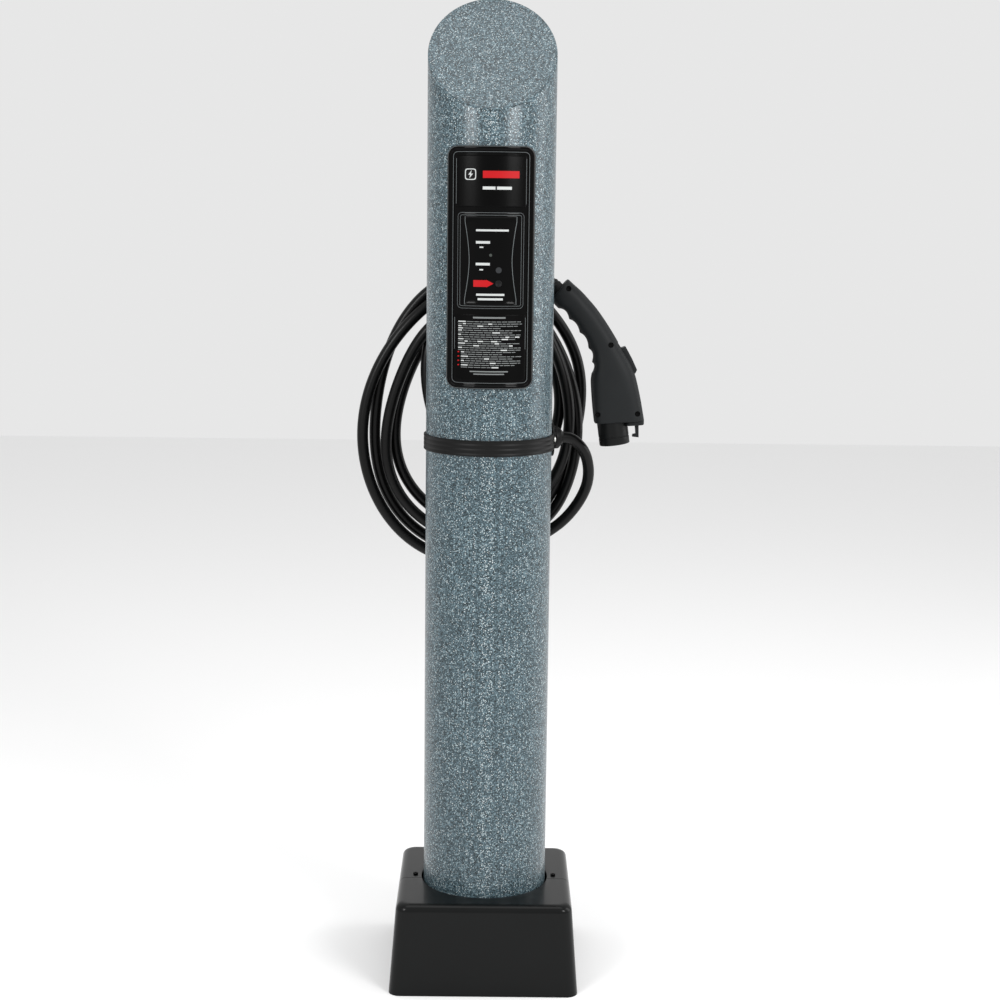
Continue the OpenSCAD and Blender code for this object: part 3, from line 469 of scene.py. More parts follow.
# %% Cable jacket
def cable_jacket():
    """Black thermoplastic with faint lines along the cable and a fine dust in its surface."""
    material, tree, shader = new_material("cable_jacket_tpe", IOR=1.48)
    shader.inputs["Specular IOR Level"].default_value = 0.2
    place = add(tree, "ShaderNodeTexCoord")
    along = add(tree, "ShaderNodeMapping", {"Vector": (place, "UV")}, Scale=(16, 9, 1))
    lines = noise(tree, (along, "Vector"), 1.0, 4.0)
    dust = noise(tree, (place, "Object"), 1 / (1.1 * MM), 2.0)
    tone = add(tree, "ShaderNodeValToRGB", {"Fac": (lines, "Fac")},
               stops=[(0.3, "#040404"), (0.7, "#0a0a0a")])
    shine = add(tree, "ShaderNodeMapRange", {"Value": (lines, "Fac")}, To_Min=0.22, To_Max=0.4)
    bump = add(tree, "ShaderNodeBump", {"Height": (dust, "Fac")}, Distance=0.03 * MM, Strength=0.5)
    feed(tree, shader, Base_Color=(tone, "Color"), Roughness=(shine, "Result"),
         Normal=(bump, "Normal"))
    return material


# %% Circuit board
def circuit_board():
    """Glass-epoxy board with green solder mask: pale tracks show through as a fine grid."""
    material, tree, shader = new_material("circuit_board_fr4", Roughness=0.3, IOR=1.55)
    place = add(tree, "ShaderNodeTexCoord")
    track = add(tree, "ShaderNodeTexBrick", {"Vector": (place, "Object")}, Scale=90.0,
                Mortar_Size=0.06, Color1=linear("#0c3a1c"), Color2=linear("#0f4a24"),
                Mortar=linear("#3f7a4a"))
    feed(tree, shader, Base_Color=(track, "Color"))
    return material


# %% [markdown]
# The finishes, each named for what it is. Gloss black on the charger face is polycarbonate from a
# polished mould, the foot and the plug are textured ABS, and nylon serves where a piece is bolted
# hard. Screws are zinc plated, and the plug's contacts are silvered brass.

# %% The finishes
FINISH = {
    "speckled_plastic": speckled_polyethylene(),
    "cable_sheath": cable_jacket(),
    "board_green": circuit_board(),
    "cover_plastic": moulded("textured_abs_foot", "#060707", 0.3, grain=1.0, depth=0.02, coat=0.4,
                             mirror=0.1),
    "gloss_black": moulded("polished_polycarbonate", "#010101", 0.13, grain=5, depth=0.02,
                           coat=0.22, mirror=0.06),
    "printed_label": moulded("printed_polyester_film", "#010101", 0.25, grain=0.6, depth=0.01,
                              mirror=0.08),
    "nylon_black": moulded("glass_filled_nylon", "#0d0d0d", 0.42, grain=0.7, depth=0.04),
    "housing_plastic": moulded("flame_retardant_abs", "#1d1e20", 0.5),
    "connector_plastic": moulded("spark_textured_abs", "#17191a", 0.5, grain=0.7, depth=0.05),
    "nozzle_plastic": moulded("plug_nozzle_pbt", "#0b0c0c", 0.4),
    "lever_plastic": moulded("latch_acetal", "#17191a", 0.42),
    # Pale grey for the beads on the face: painted highlights that stand for the lit edges of its
    # moulded steps.
    "painted_highlight_grey": moulded("pale_grey_painted_highlight", "#5c6061", 0.3, grain=2, depth=0.01),
    "button_plastic": moulded("button_acetal", "#0d0d0e", 0.45),
    "boot_rubber": moulded("boot_elastomer", "#0c0c0c", 0.55, grain=0.9, depth=0.05),
    "seal_rubber": moulded("foam_rubber_seal", "#101010", 0.8, grain=0.5, depth=0.1),
    "junction_grey": moulded("grey_polycarbonate", "#8b9093", 0.45, spread=0.1),
    "device_white": moulded("urea_moulding", "#cfcabc", 0.4, spread=0.08),
    "sensor_blue": moulded("blue_nylon", "#2b3560", 0.45),
    "switch_red": moulded("switch_phenolic", "#3c1e1c", 0.5),
    "core_insulation": moulded("core_insulation_pvc", "#1c5a2a", 0.4),
    "lamp_grey": moulded("diffusing_acrylic", "#292b2d", 0.25, grain=2, depth=0.01, coat=0.5),
    "lamp_clear": moulded("clear_light_pipe", "#3c403d", 0.15, grain=2, depth=0.01, coat=0.5),
    "painted_steel": moulded("grey_epoxy_paint", "#5a6064", 0.5, grain=1.6, depth=0.05),
    "black_screw": plated("black_oxide_steel", "#0c0c0c", 0.5, 0.2, "#1c1c1c"),
    "zinc_steel": plated("zinc_plated_steel", "#a9aaa6", 0.25),
    "spring_steel": plated("drawn_spring_wire", "#8d9092", 0.22),
    "contact_metal": plated("silvered_brass", "#c6a868", 0.2, 0.15),
}
white_ink = moulded("white_screen_ink", "#b4b7b6", 0.5, grain=0.4, depth=0.01, spread=0.12)
grey_ink = moulded("grey_screen_ink", "#6d7070", 0.5, grain=0.4, depth=0.01, spread=0.15)
red_ink = moulded("red_screen_ink", "#a80f15", 0.45, grain=0.4, depth=0.01, spread=0.1)
slots = {row["node"]: row["material_slot"] for row in frame["record"]["subparts"]}
for node, thing in frame["nodes"].items():
    thing.data.materials.clear()
    thing.data.materials.append(FINISH[slots[node]])
print(len(FINISH) + 3, "finishes for", len(slots), "nodes")

# %% [markdown]
# ## The charging cable
#
# The cable is one fixed length of stiff, heavy flex. It leaves the gland, drops in a loop, climbs
# into a coil that hangs from the hook behind the post, and ends in the plug's grip. A coil by hand
# would be hundreds of points. Here each turn is four quarter arcs between its lowest, leftmost,
# highest and rightmost points, and a short relaxing pass then pushes strands that share a place
# apart, as real ones push each other.

# %% Route of the cable
CABLE_D = 16.5
SHELF_R = 50.0
SHELF_Z = STRAP_Z + 211.4 - SHELF_R
lead_route = [
    [101.6, 51.8, 0], [116, 59, -2], [130, 67, -12], [141, 76, -28], [146, 84, -48],
    [146, 91, -70], [138, 97, -94], [123, 101, -118], [104, 104, -138], [90, 106, -149],
]
link_route = [[64, 109, -168], [32, 111, -184], [0, 112, -195]]
tail_route = [
    [34, 101, 222], [50, 97, 225], [64, 89, 226], [76, 79, 223], [87, 70, 217], [96, 64, 210],
    [99, 63, 207], [104, 62, 202],
]
# Each turn: lowest, leftmost, highest and rightmost point as x, y, height above the strap, and how
# square its upper left and upper right quarters are (2 is an ellipse, less is more pointed).
turns = [
    [(-34, 112, -199), (-190.7, 112, -4), (-6, 120.5, 220), (134, 120.5, 12), 1.8, 1.7],
    [(-20, 129, -187), (-172, 129, -28), (-4, 129, 234), (140, 137, 81), 2.3, 1.58],
    [(0, 112, -169), (-157, 112, -32), (0, 104, 220), (122, 104, 20), 1.7, 1.7],
    [(0, 129, -150), (-145, 129, -14), (0, 137.5, 220), (110, 129, 28), 1.6, 1.7],
    [(4, 112, -74), (-98, 112, 108), (4, 112, 234), None, 1.9, None],
]
QUARTER_STEPS = 14


def smooth_path(points, spacing):
    """A curve through points, resampled at an even spacing."""
    curve = curve_through(points, 12)
    run = np.concatenate([[0], np.cumsum(np.linalg.norm(np.diff(curve, axis=0), axis=1))])
    marks = np.linspace(0, run[-1], int(run[-1] / spacing) + 1)
    return np.column_stack([np.interp(marks, run, curve[:, k]) for k in range(3)])


def quarter(start, end, level_start, square):
    """A quarter of a rounded oval between two of a turn's outermost points."""
    arc = []
    for k in range(QUARTER_STEPS):
        angle = math.pi / 2 * k / QUARTER_STEPS
        grow, fall = math.sin(angle) ** (2 / square), math.cos(angle) ** (2 / square)
        ease = angle / (math.pi / 2)
        ease = ease * ease * (3 - 2 * ease)
        if level_start:
            x = start[0] + (end[0] - start[0]) * grow
            z = end[2] + (start[2] - end[2]) * fall
        else:
            x = end[0] + (start[0] - end[0]) * fall
            z = start[2] + (end[2] - start[2]) * grow
        arc.append([x, start[1] + (end[1] - start[1]) * ease, z])
    return arc


coil = []
for number, (low, left, high, right, upper_left, upper_right) in enumerate(turns):
    coil += quarter(low, left, True, 2)
    coil += quarter(left, high, False, upper_left)
    if right:
        coil += quarter(high, right, True, upper_right)
        coil += quarter(right, turns[number + 1][0], False, 2)
lift = np.array([0, 0, STRAP_Z])
SPACING = 9.0
path = smooth_path(lead_route + link_route + coil + tail_route, SPACING) + lift
print("cable route", len(path), "points")


# %% [markdown]
# ## Relaxing the coil
#
# Each round, strands closer than a diameter are pushed apart, kinks are eased, and points are kept
# behind the sleeve, in front of the hook's lip and above the hook's shelf. It uses no random
# numbers, so it comes out the same each time.


# %% Relax the strands
HELD_START, HELD_END = 22, 14
FRONT_LIMIT, BACK_LIMIT = 103.8, 137.6
STRAND_GAP = CABLE_D + 0.3
PUSH, EASE = 0.3, 0.12


def relax(points, rounds):
    """The route with its strands a diameter apart; a few points at each end stay put."""
    free = np.ones(len(points))
    free[:HELD_START] = 0
    free[-HELD_END:] = 0
    index = np.arange(len(points))
    apart = np.abs(index[:, None] - index[None, :]) > 4 * CABLE_D / SPACING
    for _ in range(rounds):
        gap = points[:, None, :] - points[None, :, :]
        distance = np.linalg.norm(gap, axis=2) + 1e-6
        push = np.where(apart & (distance < STRAND_GAP), (STRAND_GAP - distance) / distance, 0)
        move = PUSH * np.einsum("ij,ijk->ik", push, gap)
        move[1:-1] += EASE * (points[:-2] + points[2:] - 2 * points[1:-1])
        points = points + move * free[:, None]
        coil_y = np.clip(points[:, 1], FRONT_LIMIT, BACK_LIMIT)
        points[:, 1] = np.where(free > 0, coil_y * free + points[:, 1] * (1 - free), points[:, 1])
        reach = np.hypot(points[:, 0], points[:, 2] - SHELF_Z)
        rest_r = SHELF_R + CABLE_D / 2 + 0.2
        on_shelf = (free > 0) & (reach < rest_r) & (points[:, 2] > SHELF_Z + 20)
        scale = np.where(on_shelf, rest_r / np.maximum(reach, 1), 1)
        points[:, 0] *= scale
        points[:, 2] = SHELF_Z + (points[:, 2] - SHELF_Z) * scale
    return points


path = relax(path, 90)
steps = np.linalg.norm(np.diff(path, axis=0), axis=1)
cable_length = steps.sum() * MM
print(f"cable length {cable_length:.2f} m in {len(path)} points")


# %% Sweep the cable
def sweep(points, radii, sides=18):
    """Rings along points, kept from twisting, with end caps; radii is one number or one a point."""
    points = np.array(points, float)
    radii = np.broadcast_to(radii, len(points))
    tangents = np.gradient(points, axis=0)
    tangents /= np.linalg.norm(tangents, axis=1)[:, None]
    side = np.cross(tangents[0], [0.1, 0.2, 1])
    rings = []
    for centre, tangent, radius in zip(points, tangents, radii):
        side = side - tangent * (side @ tangent)
        side = side / np.linalg.norm(side)
        up = np.cross(tangent, side)
        for k in range(sides):
            a = 2 * math.pi * k / sides
            rings.append(centre + radius * (math.cos(a) * side + math.sin(a) * up))
    faces = loft_faces(len(points), sides)
    faces.append(tuple(range(sides - 1, -1, -1)))
    faces.append(tuple(range((len(points) - 1) * sides, len(points) * sides)))
    return rings, faces


SWEEP_STEP = 7.0
fine = smooth_path(path[::2] if len(path) % 2 else np.vstack([path[::2], path[-1]]), SWEEP_STEP)
SIDES = 18
points, faces = sweep(fine, CABLE_D / 2, SIDES)
cable = piece("charging_cable", points, faces, FINISH["cable_sheath"], sharp=50)
uv = cable.data.uv_layers.new(name="along")
for polygon in cable.data.polygons:
    corners = [cable.data.loops[i].vertex_index for i in polygon.loop_indices]
    rounds = [v % SIDES for v in corners]
    wraps = max(rounds) - min(rounds) > SIDES / 2
    for loop, vertex, turn in zip(polygon.loop_indices, corners, rounds):
        turn = turn + SIDES if wraps and turn < SIDES / 2 else turn
        uv.data[loop].uv = (turn / SIDES, vertex // SIDES * SWEEP_STEP * MM)
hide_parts("cable_lead", "cable_coil", "cable_tail")
line = [[float(v) for v in p * MM] for p in fine]
cable_length = float(np.linalg.norm(np.diff(np.array(line), axis=0), axis=1).sum())
print(f"swept cable {cable_length:.2f} m, {len(faces)} faces")


# %% [markdown]
# ## The sleeve
#
# A tube with a slanted, closed top. Its shape follows one rule: the top's height at each point is
# the lip's height plus the distance from the front times the slope. The rounding of the edge is
# that same rule, with the radius shrinking and the height rising along a quarter circle. It is
# built as an outer and an inner skin, and the openings are cut afterwards.

# %% Sleeve
WALL = 5.0
SLANT_RISE = 162.0
SLEEVE_FOOT = sleeve_low[2]
LIP_Z = POST_TOP - SLANT_RISE
SLOPE = SLANT_RISE / (2 * SLEEVE_R)
AROUND = 160


def slanted_tube(radius, foot, drop, rounding):
    """Rings of a tube under the slanted plane, from its foot to the middle of its top."""
    angles = [2 * math.pi * k / AROUND for k in range(AROUND)]

    def ring(r, height):
        return [(r * math.cos(a), r * math.sin(a), height(r * math.sin(a))) for a in angles]

    def top(y):
        return LIP_Z + (y + SLEEVE_R) * SLOPE - drop

    rows = []
    for share in np.linspace(0, 1, 14):
        rows.append(ring(radius, lambda y: foot + (top(y) - rounding * 1.3 - foot) * share))
    for k in range(1, 6):
        turn = math.pi / 2 * k / 5
        r = radius - rounding * (1 - math.cos(turn))
        rows.append(ring(r, lambda y: top(y) - 1.3 * rounding * (1 - math.sin(turn))))
    for share in (0.9, 0.75, 0.55, 0.3, 0.05):
        rows.append(ring((radius - rounding) * share, top))
    return rows


outer_rows = slanted_tube(SLEEVE_R, SLEEVE_FOOT, 0, 2.2)
inner_rows = slanted_tube(SLEEVE_R - WALL, SLEEVE_FOOT, WALL * 1.35, 1.0)
points = [p for row in outer_rows + inner_rows for p in row]
faces = loft_faces(len(outer_rows), AROUND)
start = len(outer_rows) * AROUND
faces += loft_faces(len(inner_rows), AROUND, first=start)
faces.append(tuple(range(start - AROUND, start)))
faces.append(tuple(range(len(points) - AROUND, len(points))))
faces += [
    (k, (k + 1) % AROUND, start + (k + 1) % AROUND, start + k) for k in range(AROUND)
]
sleeve = piece("post_sleeve_shell", points, faces, FINISH["speckled_plastic"], sharp=25)
print("sleeve faces", len(sleeve.data.polygons))


# %% [markdown]
# ## Curved panels
#
# The charger face is a stack of flat shapes wrapped on the sleeve. Each shape is a grid of rows:
# a row has one height and one half-width, so a rounded rectangle and a waisted window are the same
# code. The rim of the grid is lofted outwards to give the panel its rounded edge, and every point
# ends on a cylinder, because only its depth depends on how far it stands to the side.


# %% Panel helpers
COLUMNS = 22
CORNER_ROWS = 8


def rounded_rows(width, height, corner):
    """A rounded rectangle as rows of height and half-width, from the bottom up."""
    rows = []
    for k in range(CORNER_ROWS + 1):
        a = math.pi / 2 * k / CORNER_ROWS
        half = width / 2 - corner + corner * math.sin(a)
        rows.append((-height / 2 + corner * (1 - math.cos(a)), half))
    return rows + [(-z, half) for z, half in reversed(rows)]


def bent(x, z, out):
    """A point on the cylinder that stands out from the sleeve by out."""
    return (x, -math.sqrt((SLEEVE_R + out) ** 2 - x * x), z)


def grid_points(rows, z_mid, out):
    """The grid of points that rows fill, wrapped on the cylinder, row by row."""
    columns = np.linspace(-1, 1, COLUMNS + 1)
    return [bent(half * t, z_mid + z, out) for z, half in rows for t in columns]


def rim_of(rows):
    """Numbers of the grid's outer points, in order round it."""
    wide, tall = COLUMNS + 1, len(rows)
    bottom = list(range(wide))
    right = [r * wide + wide - 1 for r in range(1, tall)]
    top = [(tall - 1) * wide + c for c in range(wide - 2, -1, -1)]
    left = [r * wide for r in range(tall - 2, 0, -1)]
    return bottom + right + top + left


def stacked(layers, z_mid, fill_last=True):
    """Lofts the rims of layers of (rows, out); fills the first and, if asked, the last."""
    points, faces = [], []
    rim = rim_of(layers[0][0])
    rims = []
    for number, (rows, out) in enumerate(layers):
        grid = grid_points(rows, z_mid, out)
        filled = number == 0 or (fill_last and number == len(layers) - 1)
        if filled:
            base = len(points)
            points += grid
            rims.append([base + i for i in rim])
            wide = COLUMNS + 1
            for r in range(len(rows) - 1):
                for c in range(COLUMNS):
                    a = base + r * wide + c
                    faces.append((a, a + 1, a + wide + 1, a + wide))
        else:
            base = len(points)
            points += [grid[i] for i in rim]
            rims.append(list(range(base, base + len(rim))))
    for lower, upper in zip(rims, rims[1:]):
        for k in range(len(rim)):
            n = (k + 1) % len(rim)
            faces.append((lower[k], lower[n], upper[n], upper[k]))
    return points, faces


def panel(name, width, height, corner, z_mid, back, front, edge, finish):
    """A closed, curved panel with a rounded front edge."""
    def shape(inset):
        return rounded_rows(width - 2 * inset, height - 2 * inset, max(corner - inset, 0.4))

    layers = [(shape(0), back), (shape(0), front - edge), (shape(edge * 0.3), front - edge * 0.3),
              (shape(edge), front)]
    points, faces = stacked(layers, z_mid)
    return piece(name, points, faces, finish, sharp=40)


# %% [markdown]
# ## The charger face
#
# One gloss moulding: a rounded rim stands proud of the sleeve, and inside it a floor carries
# the upper plate, the raised hood with its waisted window, and the label. The rim's section is a
# short list of steps, each an inset and a height.

# %% Rim and floor
RIM_W = cover_high[0] - cover_low[0]
RIM_H = cover_high[2] - cover_low[2]
RIM_OUT = -cover_low[1] - SLEEVE_R
RIM_CORNER = 14.0
FLOOR_OUT = 2.0
rim_section = [
    (0, 0.6), (0, RIM_OUT - 2.2), (0.5, RIM_OUT - 1.0), (1.6, RIM_OUT - 0.2), (3.0, RIM_OUT),
    (4.4, RIM_OUT - 0.3), (5.2, RIM_OUT - 1.1), (6.0, RIM_OUT - 1.3), (7.4, RIM_OUT - 1.2),
    (8.2, RIM_OUT - 1.6), (8.8, FLOOR_OUT + 0.4), (9.4, FLOOR_OUT),
]
layers = [
    (rounded_rows(RIM_W - 2 * inset, RIM_H - 2 * inset, RIM_CORNER - inset), out)
    for inset, out in rim_section
]
points, faces = stacked(layers, FACE_Z)
face_cover = piece("charger_face", points, faces, FINISH["gloss_black"], sharp=40)
name_low, name_high = box_mm("name_plate")
label_low, label_high = box_mm("label_plate")
hood_low, hood_high = box_mm("display_hood")
PLATE_OUT = FLOOR_OUT + 1.6
name_plate = panel("upper_plate", name_high[0] - name_low[0], name_high[2] - name_low[2], 3,
                   (name_low[2] + name_high[2]) / 2, FLOOR_OUT + 0.1, PLATE_OUT + 0.4, 1.3,
                   FINISH["printed_label"])
label_plate = panel("label_panel", label_high[0] - label_low[0], label_high[2] - label_low[2], 3.5,
                    (label_low[2] + label_high[2]) / 2, FLOOR_OUT + 0.1, FLOOR_OUT + 0.9, 0.5,
                    FINISH["printed_label"])
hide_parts("name_plate")
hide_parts("label_plate")
print(f"face {RIM_W:.0f} x {RIM_H:.0f} mm")

# %% [markdown]
# The hood is one more stack: its outer edge rises in a soft step, runs in to the waisted window and
# drops to the window's floor. The window has as many rows as the outer shape, so the two rims
# match point for point.

# %% Hood
HOOD_W = hood_high[0] - hood_low[0]
HOOD_H = hood_high[2] - hood_low[2]
HOOD_Z = (hood_low[2] + hood_high[2]) / 2
HOOD_OUT = FLOOR_OUT + 3.1
WAIST_HALF, WINDOW_HALF = 28.0, 34.0


def waisted_rows(inset):
    """The window's rows: narrowest at mid height, drawn in by inset all round."""
    count = 2 * (CORNER_ROWS + 1)
    half_height = HOOD_H / 2 - 6.5 - inset
    rows = []
    for k in range(count):
        share = -1 + 2 * k / (count - 1)
        half = WAIST_HALF + (WINDOW_HALF - WAIST_HALF) * min(1, abs(share) * 1.15) ** 1.6
        rows.append((half_height * share, half - inset))
    return rows


hood_layers = [(rounded_rows(HOOD_W - 2 * i, HOOD_H - 2 * i, 6 - i), out) for i, out in
               [(0, FLOOR_OUT + 0.1), (0, HOOD_OUT - 1.2), (0.4, HOOD_OUT - 0.4), (1.3, HOOD_OUT),
                (2.6, HOOD_OUT - 0.1), (3.4, HOOD_OUT - 0.7), (4.6, HOOD_OUT - 0.8)]]
hood_layers += [(waisted_rows(i), out) for i, out in
                [(-1.6, HOOD_OUT - 0.8), (-0.8, HOOD_OUT - 0.55), (0, HOOD_OUT - 0.8),
                 (0.8, PLATE_OUT + 0.1), (1.2, PLATE_OUT)]]
points, faces = stacked(hood_layers, HOOD_Z)
hood = piece("display_hood_cover", points, faces, FINISH["gloss_black"], sharp=40)
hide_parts("display_hood")

# %% [markdown]
# Each moulded step on the face is traced by a fine bead of pale grey: a painted highlight that
# stands for the line of light along the step's edge. A bead is a thin round sweep laid along an
# outline, so one helper makes all of them.


# %% Beads as painted highlights
def outline_of(rows, z_mid, out):
    """The rim of a set of rows as points on the face, closed on itself."""
    grid = grid_points(rows, z_mid, out)
    ring = [grid[i] for i in rim_of(rows)]
    return ring + ring[:2]


def bead(name, points, radius):
    """A thin round bead of pale grey along points, a painted highlight line."""
    made_points, made_faces = sweep(points, radius, 8)
    piece(name, made_points, made_faces, FINISH["painted_highlight_grey"])


def frame_bead(name, width, height, corner, z_mid, out, radius):
    """A painted highlight bead of pale grey all round a rounded rectangle."""
    bead(name, outline_of(rounded_rows(width, height, corner), z_mid, out), radius)


def upright_bead(name, x, low_z, high_z, out, radius):
    """A straight painted highlight bead of pale grey up the face."""
    bead(name, [bent(x, z, out) for z in np.linspace(low_z, high_z, 8)], radius)


# Pale grey beads round the rim and the hood: painted highlights where their moulded edges catch the
# light.
frame_bead("rim_highlight_bead_outer", RIM_W - 2, RIM_H - 2, RIM_CORNER - 1, FACE_Z, RIM_OUT - 0.5, 0.3)
frame_bead("rim_highlight_bead_inner", RIM_W - 16.6, RIM_H - 16.6, 6, FACE_Z, RIM_OUT - 1.7, 0.35)
frame_bead("hood_highlight_bead_outer", HOOD_W - 1.2, HOOD_H - 1.2, 5.4, HOOD_Z, HOOD_OUT - 0.35, 0.3)
frame_bead("hood_highlight_bead_inner", HOOD_W - 7.6, HOOD_H - 7.6, 2.6, HOOD_Z, HOOD_OUT - 0.75, 0.3)
label_edge_x = (label_high[0] - label_low[0]) / 2 - 0.8
name_edge_x = (name_high[0] - name_low[0]) / 2 - 1.0
# The waist, the label's sides and the upper plate's sides get the same painted highlight beads.
for word, side in (("left", -1), ("right", 1)):
    waist = [bent(side * half, HOOD_Z + z, HOOD_OUT - 0.5) for z, half in waisted_rows(-0.8)]
    bead("waist_highlight_bead_" + word, waist, 0.45)
    upright_bead("label_highlight_bead_" + word, side * label_edge_x, label_low[2] + 42,
                 label_high[2] - 4, FLOOR_OUT + 0.85, 0.35)
    upright_bead("name_edge_" + word, side * name_edge_x, name_low[2] + 4, name_high[2] - 4,
                 PLATE_OUT + 0.1, 0.4)

# %% [markdown]
# The lamps and the button stand in holes. The same round cutters go through the hood and the floor
# behind it, so the button can travel without touching either.

# %% Holes for lamps and button
LENS_GAP = 0.15
BUTTON_R = 4.6
BUTTON_HOLE_R = BUTTON_R + 0.15
FRONT_Y = -120
low, high = box_mm("reset_button")
button_x, button_z = (low[0] + high[0]) / 2, (low[2] + high[2]) / 2
for shell in (face_cover, hood):
    tools = []
    for node in ("power_lens", "status_lens"):
        lens_low, lens_high = box_mm(node)
        lens_x, lens_z = (lens_low[0] + lens_high[0]) / 2, (lens_low[2] + lens_high[2]) / 2
        tools.append(rod((lens_x, FRONT_Y, lens_z), (0, 1, 0),
                         (lens_high[0] - lens_low[0]) / 2 + LENS_GAP, 60))
    tools.append(rod((button_x, FRONT_Y, button_z), (0, 1, 0), BUTTON_HOLE_R, 60))
    cut(shell, *tools)
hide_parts("front_cover")

# %% Reset button
button_front = low[1]
flange_back = button_front + 8.5
FLANGE_R = 6.0
profile = [
    (0.01, button_front + 0.7), (2.4, button_front + 0.55), (3.4, button_front + 0.15),
    (4.0, button_front), (4.4, button_front + 0.2), (BUTTON_R, button_front + 0.7),
    (BUTTON_R, flange_back - 1.4), (FLANGE_R, flange_back - 1.4), (FLANGE_R, flange_back),
    (1.5, flange_back), (1.5, high[1]), (0.01, high[1]),
]
points, faces = lathe(profile, 48)
points = [(button_x + x, h, button_z + y) for x, y, h in points]
button = piece("reset_button_cap", points, faces, FINISH["button_plastic"], "reset_button")
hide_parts("reset_button")

# %% [markdown]
# ## Print on the face
#
# Wording is shown only as plain bars. Each bar is one point that carries its size, and a Geometry
# Nodes tree turns every point into a thin block and wraps it on the face: a block's depth depends
# on how far it stands to the side. The face's radius is an input, and the ink is set at the end.


# %% Print tree
def print_tree(ink):
    """A tree that turns points with a bar_size into blocks of ink on a cylinder."""
    tree = bpy.data.node_groups.new("wrapped_print", "GeometryNodeTree")
    ask = tree.interface
    ask.new_socket("Bars", in_out="INPUT", socket_type="NodeSocketGeometry")
    ask.new_socket("Face radius", in_out="INPUT", socket_type="NodeSocketFloat")
    ask.new_socket("Print", in_out="OUTPUT", socket_type="NodeSocketGeometry")
    given = add(tree, "NodeGroupInput")
    size = add(tree, "GeometryNodeInputNamedAttribute", props={"data_type": "FLOAT_VECTOR"},
               Name="bar_size")
    block = add(tree, "GeometryNodeMeshCube", Vertices_X=7)
    block.inputs["Size"].default_value = (1, 1, 1)
    dots = add(tree, "GeometryNodeMeshToPoints", {"Mesh": (given, "Bars")})
    bars = add(tree, "GeometryNodeInstanceOnPoints", {
        "Points": (dots, "Points"), "Instance": (block, "Mesh"), "Scale": (size, "Attribute"),
    })
    real = add(tree, "GeometryNodeRealizeInstances", {"Geometry": (bars, "Instances")})
    place = add(tree, "GeometryNodeInputPosition")
    parts = add(tree, "ShaderNodeSeparateXYZ", {"Vector": (place, "Position")})
    square_r = calc(tree, "MULTIPLY", (given, "Face radius"), (given, "Face radius"))
    square_x = calc(tree, "MULTIPLY", (parts, "X"), (parts, "X"))
    rest = calc(tree, "SUBTRACT", (square_r, 0), (square_x, 0))
    depth = calc(tree, "SQRT", (rest, 0))
    back = calc(tree, "MULTIPLY", (depth, 0), -1)
    shift = add(tree, "ShaderNodeCombineXYZ", {"Y": (back, 0)})
    wrap = add(tree, "GeometryNodeSetPosition",
               {"Geometry": (real, "Geometry"), "Offset": (shift, "Vector")})
    inked = add(tree, "GeometryNodeSetMaterial", {"Geometry": (wrap, "Geometry")}, Material=ink)
    add(tree, "NodeGroupOutput", {"Print": (inked, "Geometry")})
    return tree


INK = 0.16


def print_bars(name, bars, out, ink):
    """Bars of (x, z, length, height) in one ink, on the surface that stands out by out."""
    mesh = bpy.data.meshes.new(name)
    mesh.from_pydata([(x * MM, 0, z * MM) for x, z, _, _ in bars], [], [])
    sizes = mesh.attributes.new("bar_size", "FLOAT_VECTOR", "POINT")
    for row, (_, _, length, height) in zip(sizes.data, bars):
        row.vector = (length * MM, INK * MM, height * MM)
    holder = linked(name, mesh)
    modifier = holder.modifiers.new("print", "NODES")
    modifier.node_group = print_tree(ink)
    socket = modifier.node_group.interface.items_tree["Face radius"].identifier
    modifier[socket] = (SLEEVE_R + out + 0.2 * INK) * MM
    made = evaluated_mesh(holder)
    bpy.data.objects.remove(holder)
    return finish_mesh(name, made, ink)


# %% Bars of print
rng = np.random.default_rng(7)
NAME_Z = (name_low[2] + name_high[2]) / 2
name_out = PLATE_OUT + 0.4
print_bars("name_bar_red", [(13, NAME_Z + 9, 49, 9.5)], name_out, red_ink)
print_bars("name_bar_white", [(-3, NAME_Z - 9, 17, 4), (17.5, NAME_Z - 9, 20, 4)], name_out,
           white_ink)
# In the window: one bar at the top, two by each lamp, and two at the bottom.
window_bars = [
    (2, FACE_Z + 51, 44, 2.6), (-10.5, FACE_Z + 35, 19, 3.4), (-12.5, FACE_Z + 28.5, 5, 1.8),
    (-10.5, FACE_Z + 6, 19, 3.4), (-12.5, FACE_Z - 1.5, 5, 1.8),
    (0, FACE_Z - 35, 38, 2.8), (0, FACE_Z - 41, 34, 2.8),
]
print_bars("window_print", window_bars, PLATE_OUT, white_ink)
print_bars("reset_arrow_bar", [(-14, FACE_Z - 20, 18, 9)], PLATE_OUT, red_ink)
LABEL_TOP = label_high[2]
label_out = FLOOR_OUT + 0.9
pale_bars, dim_bars, red_bars = [], [(-1, LABEL_TOP - 4, 44, 2.2)], []
LINE_STEP = 2.95
LINES, FIRST_MARKED = 22, 14
LEFT, RIGHT = -43.0, 44.0
THIN, BOLD = 0.95, 1.5
BOLD_SHARE = 0.12
WORD_GAP, SHORTEST = 1.1, 3
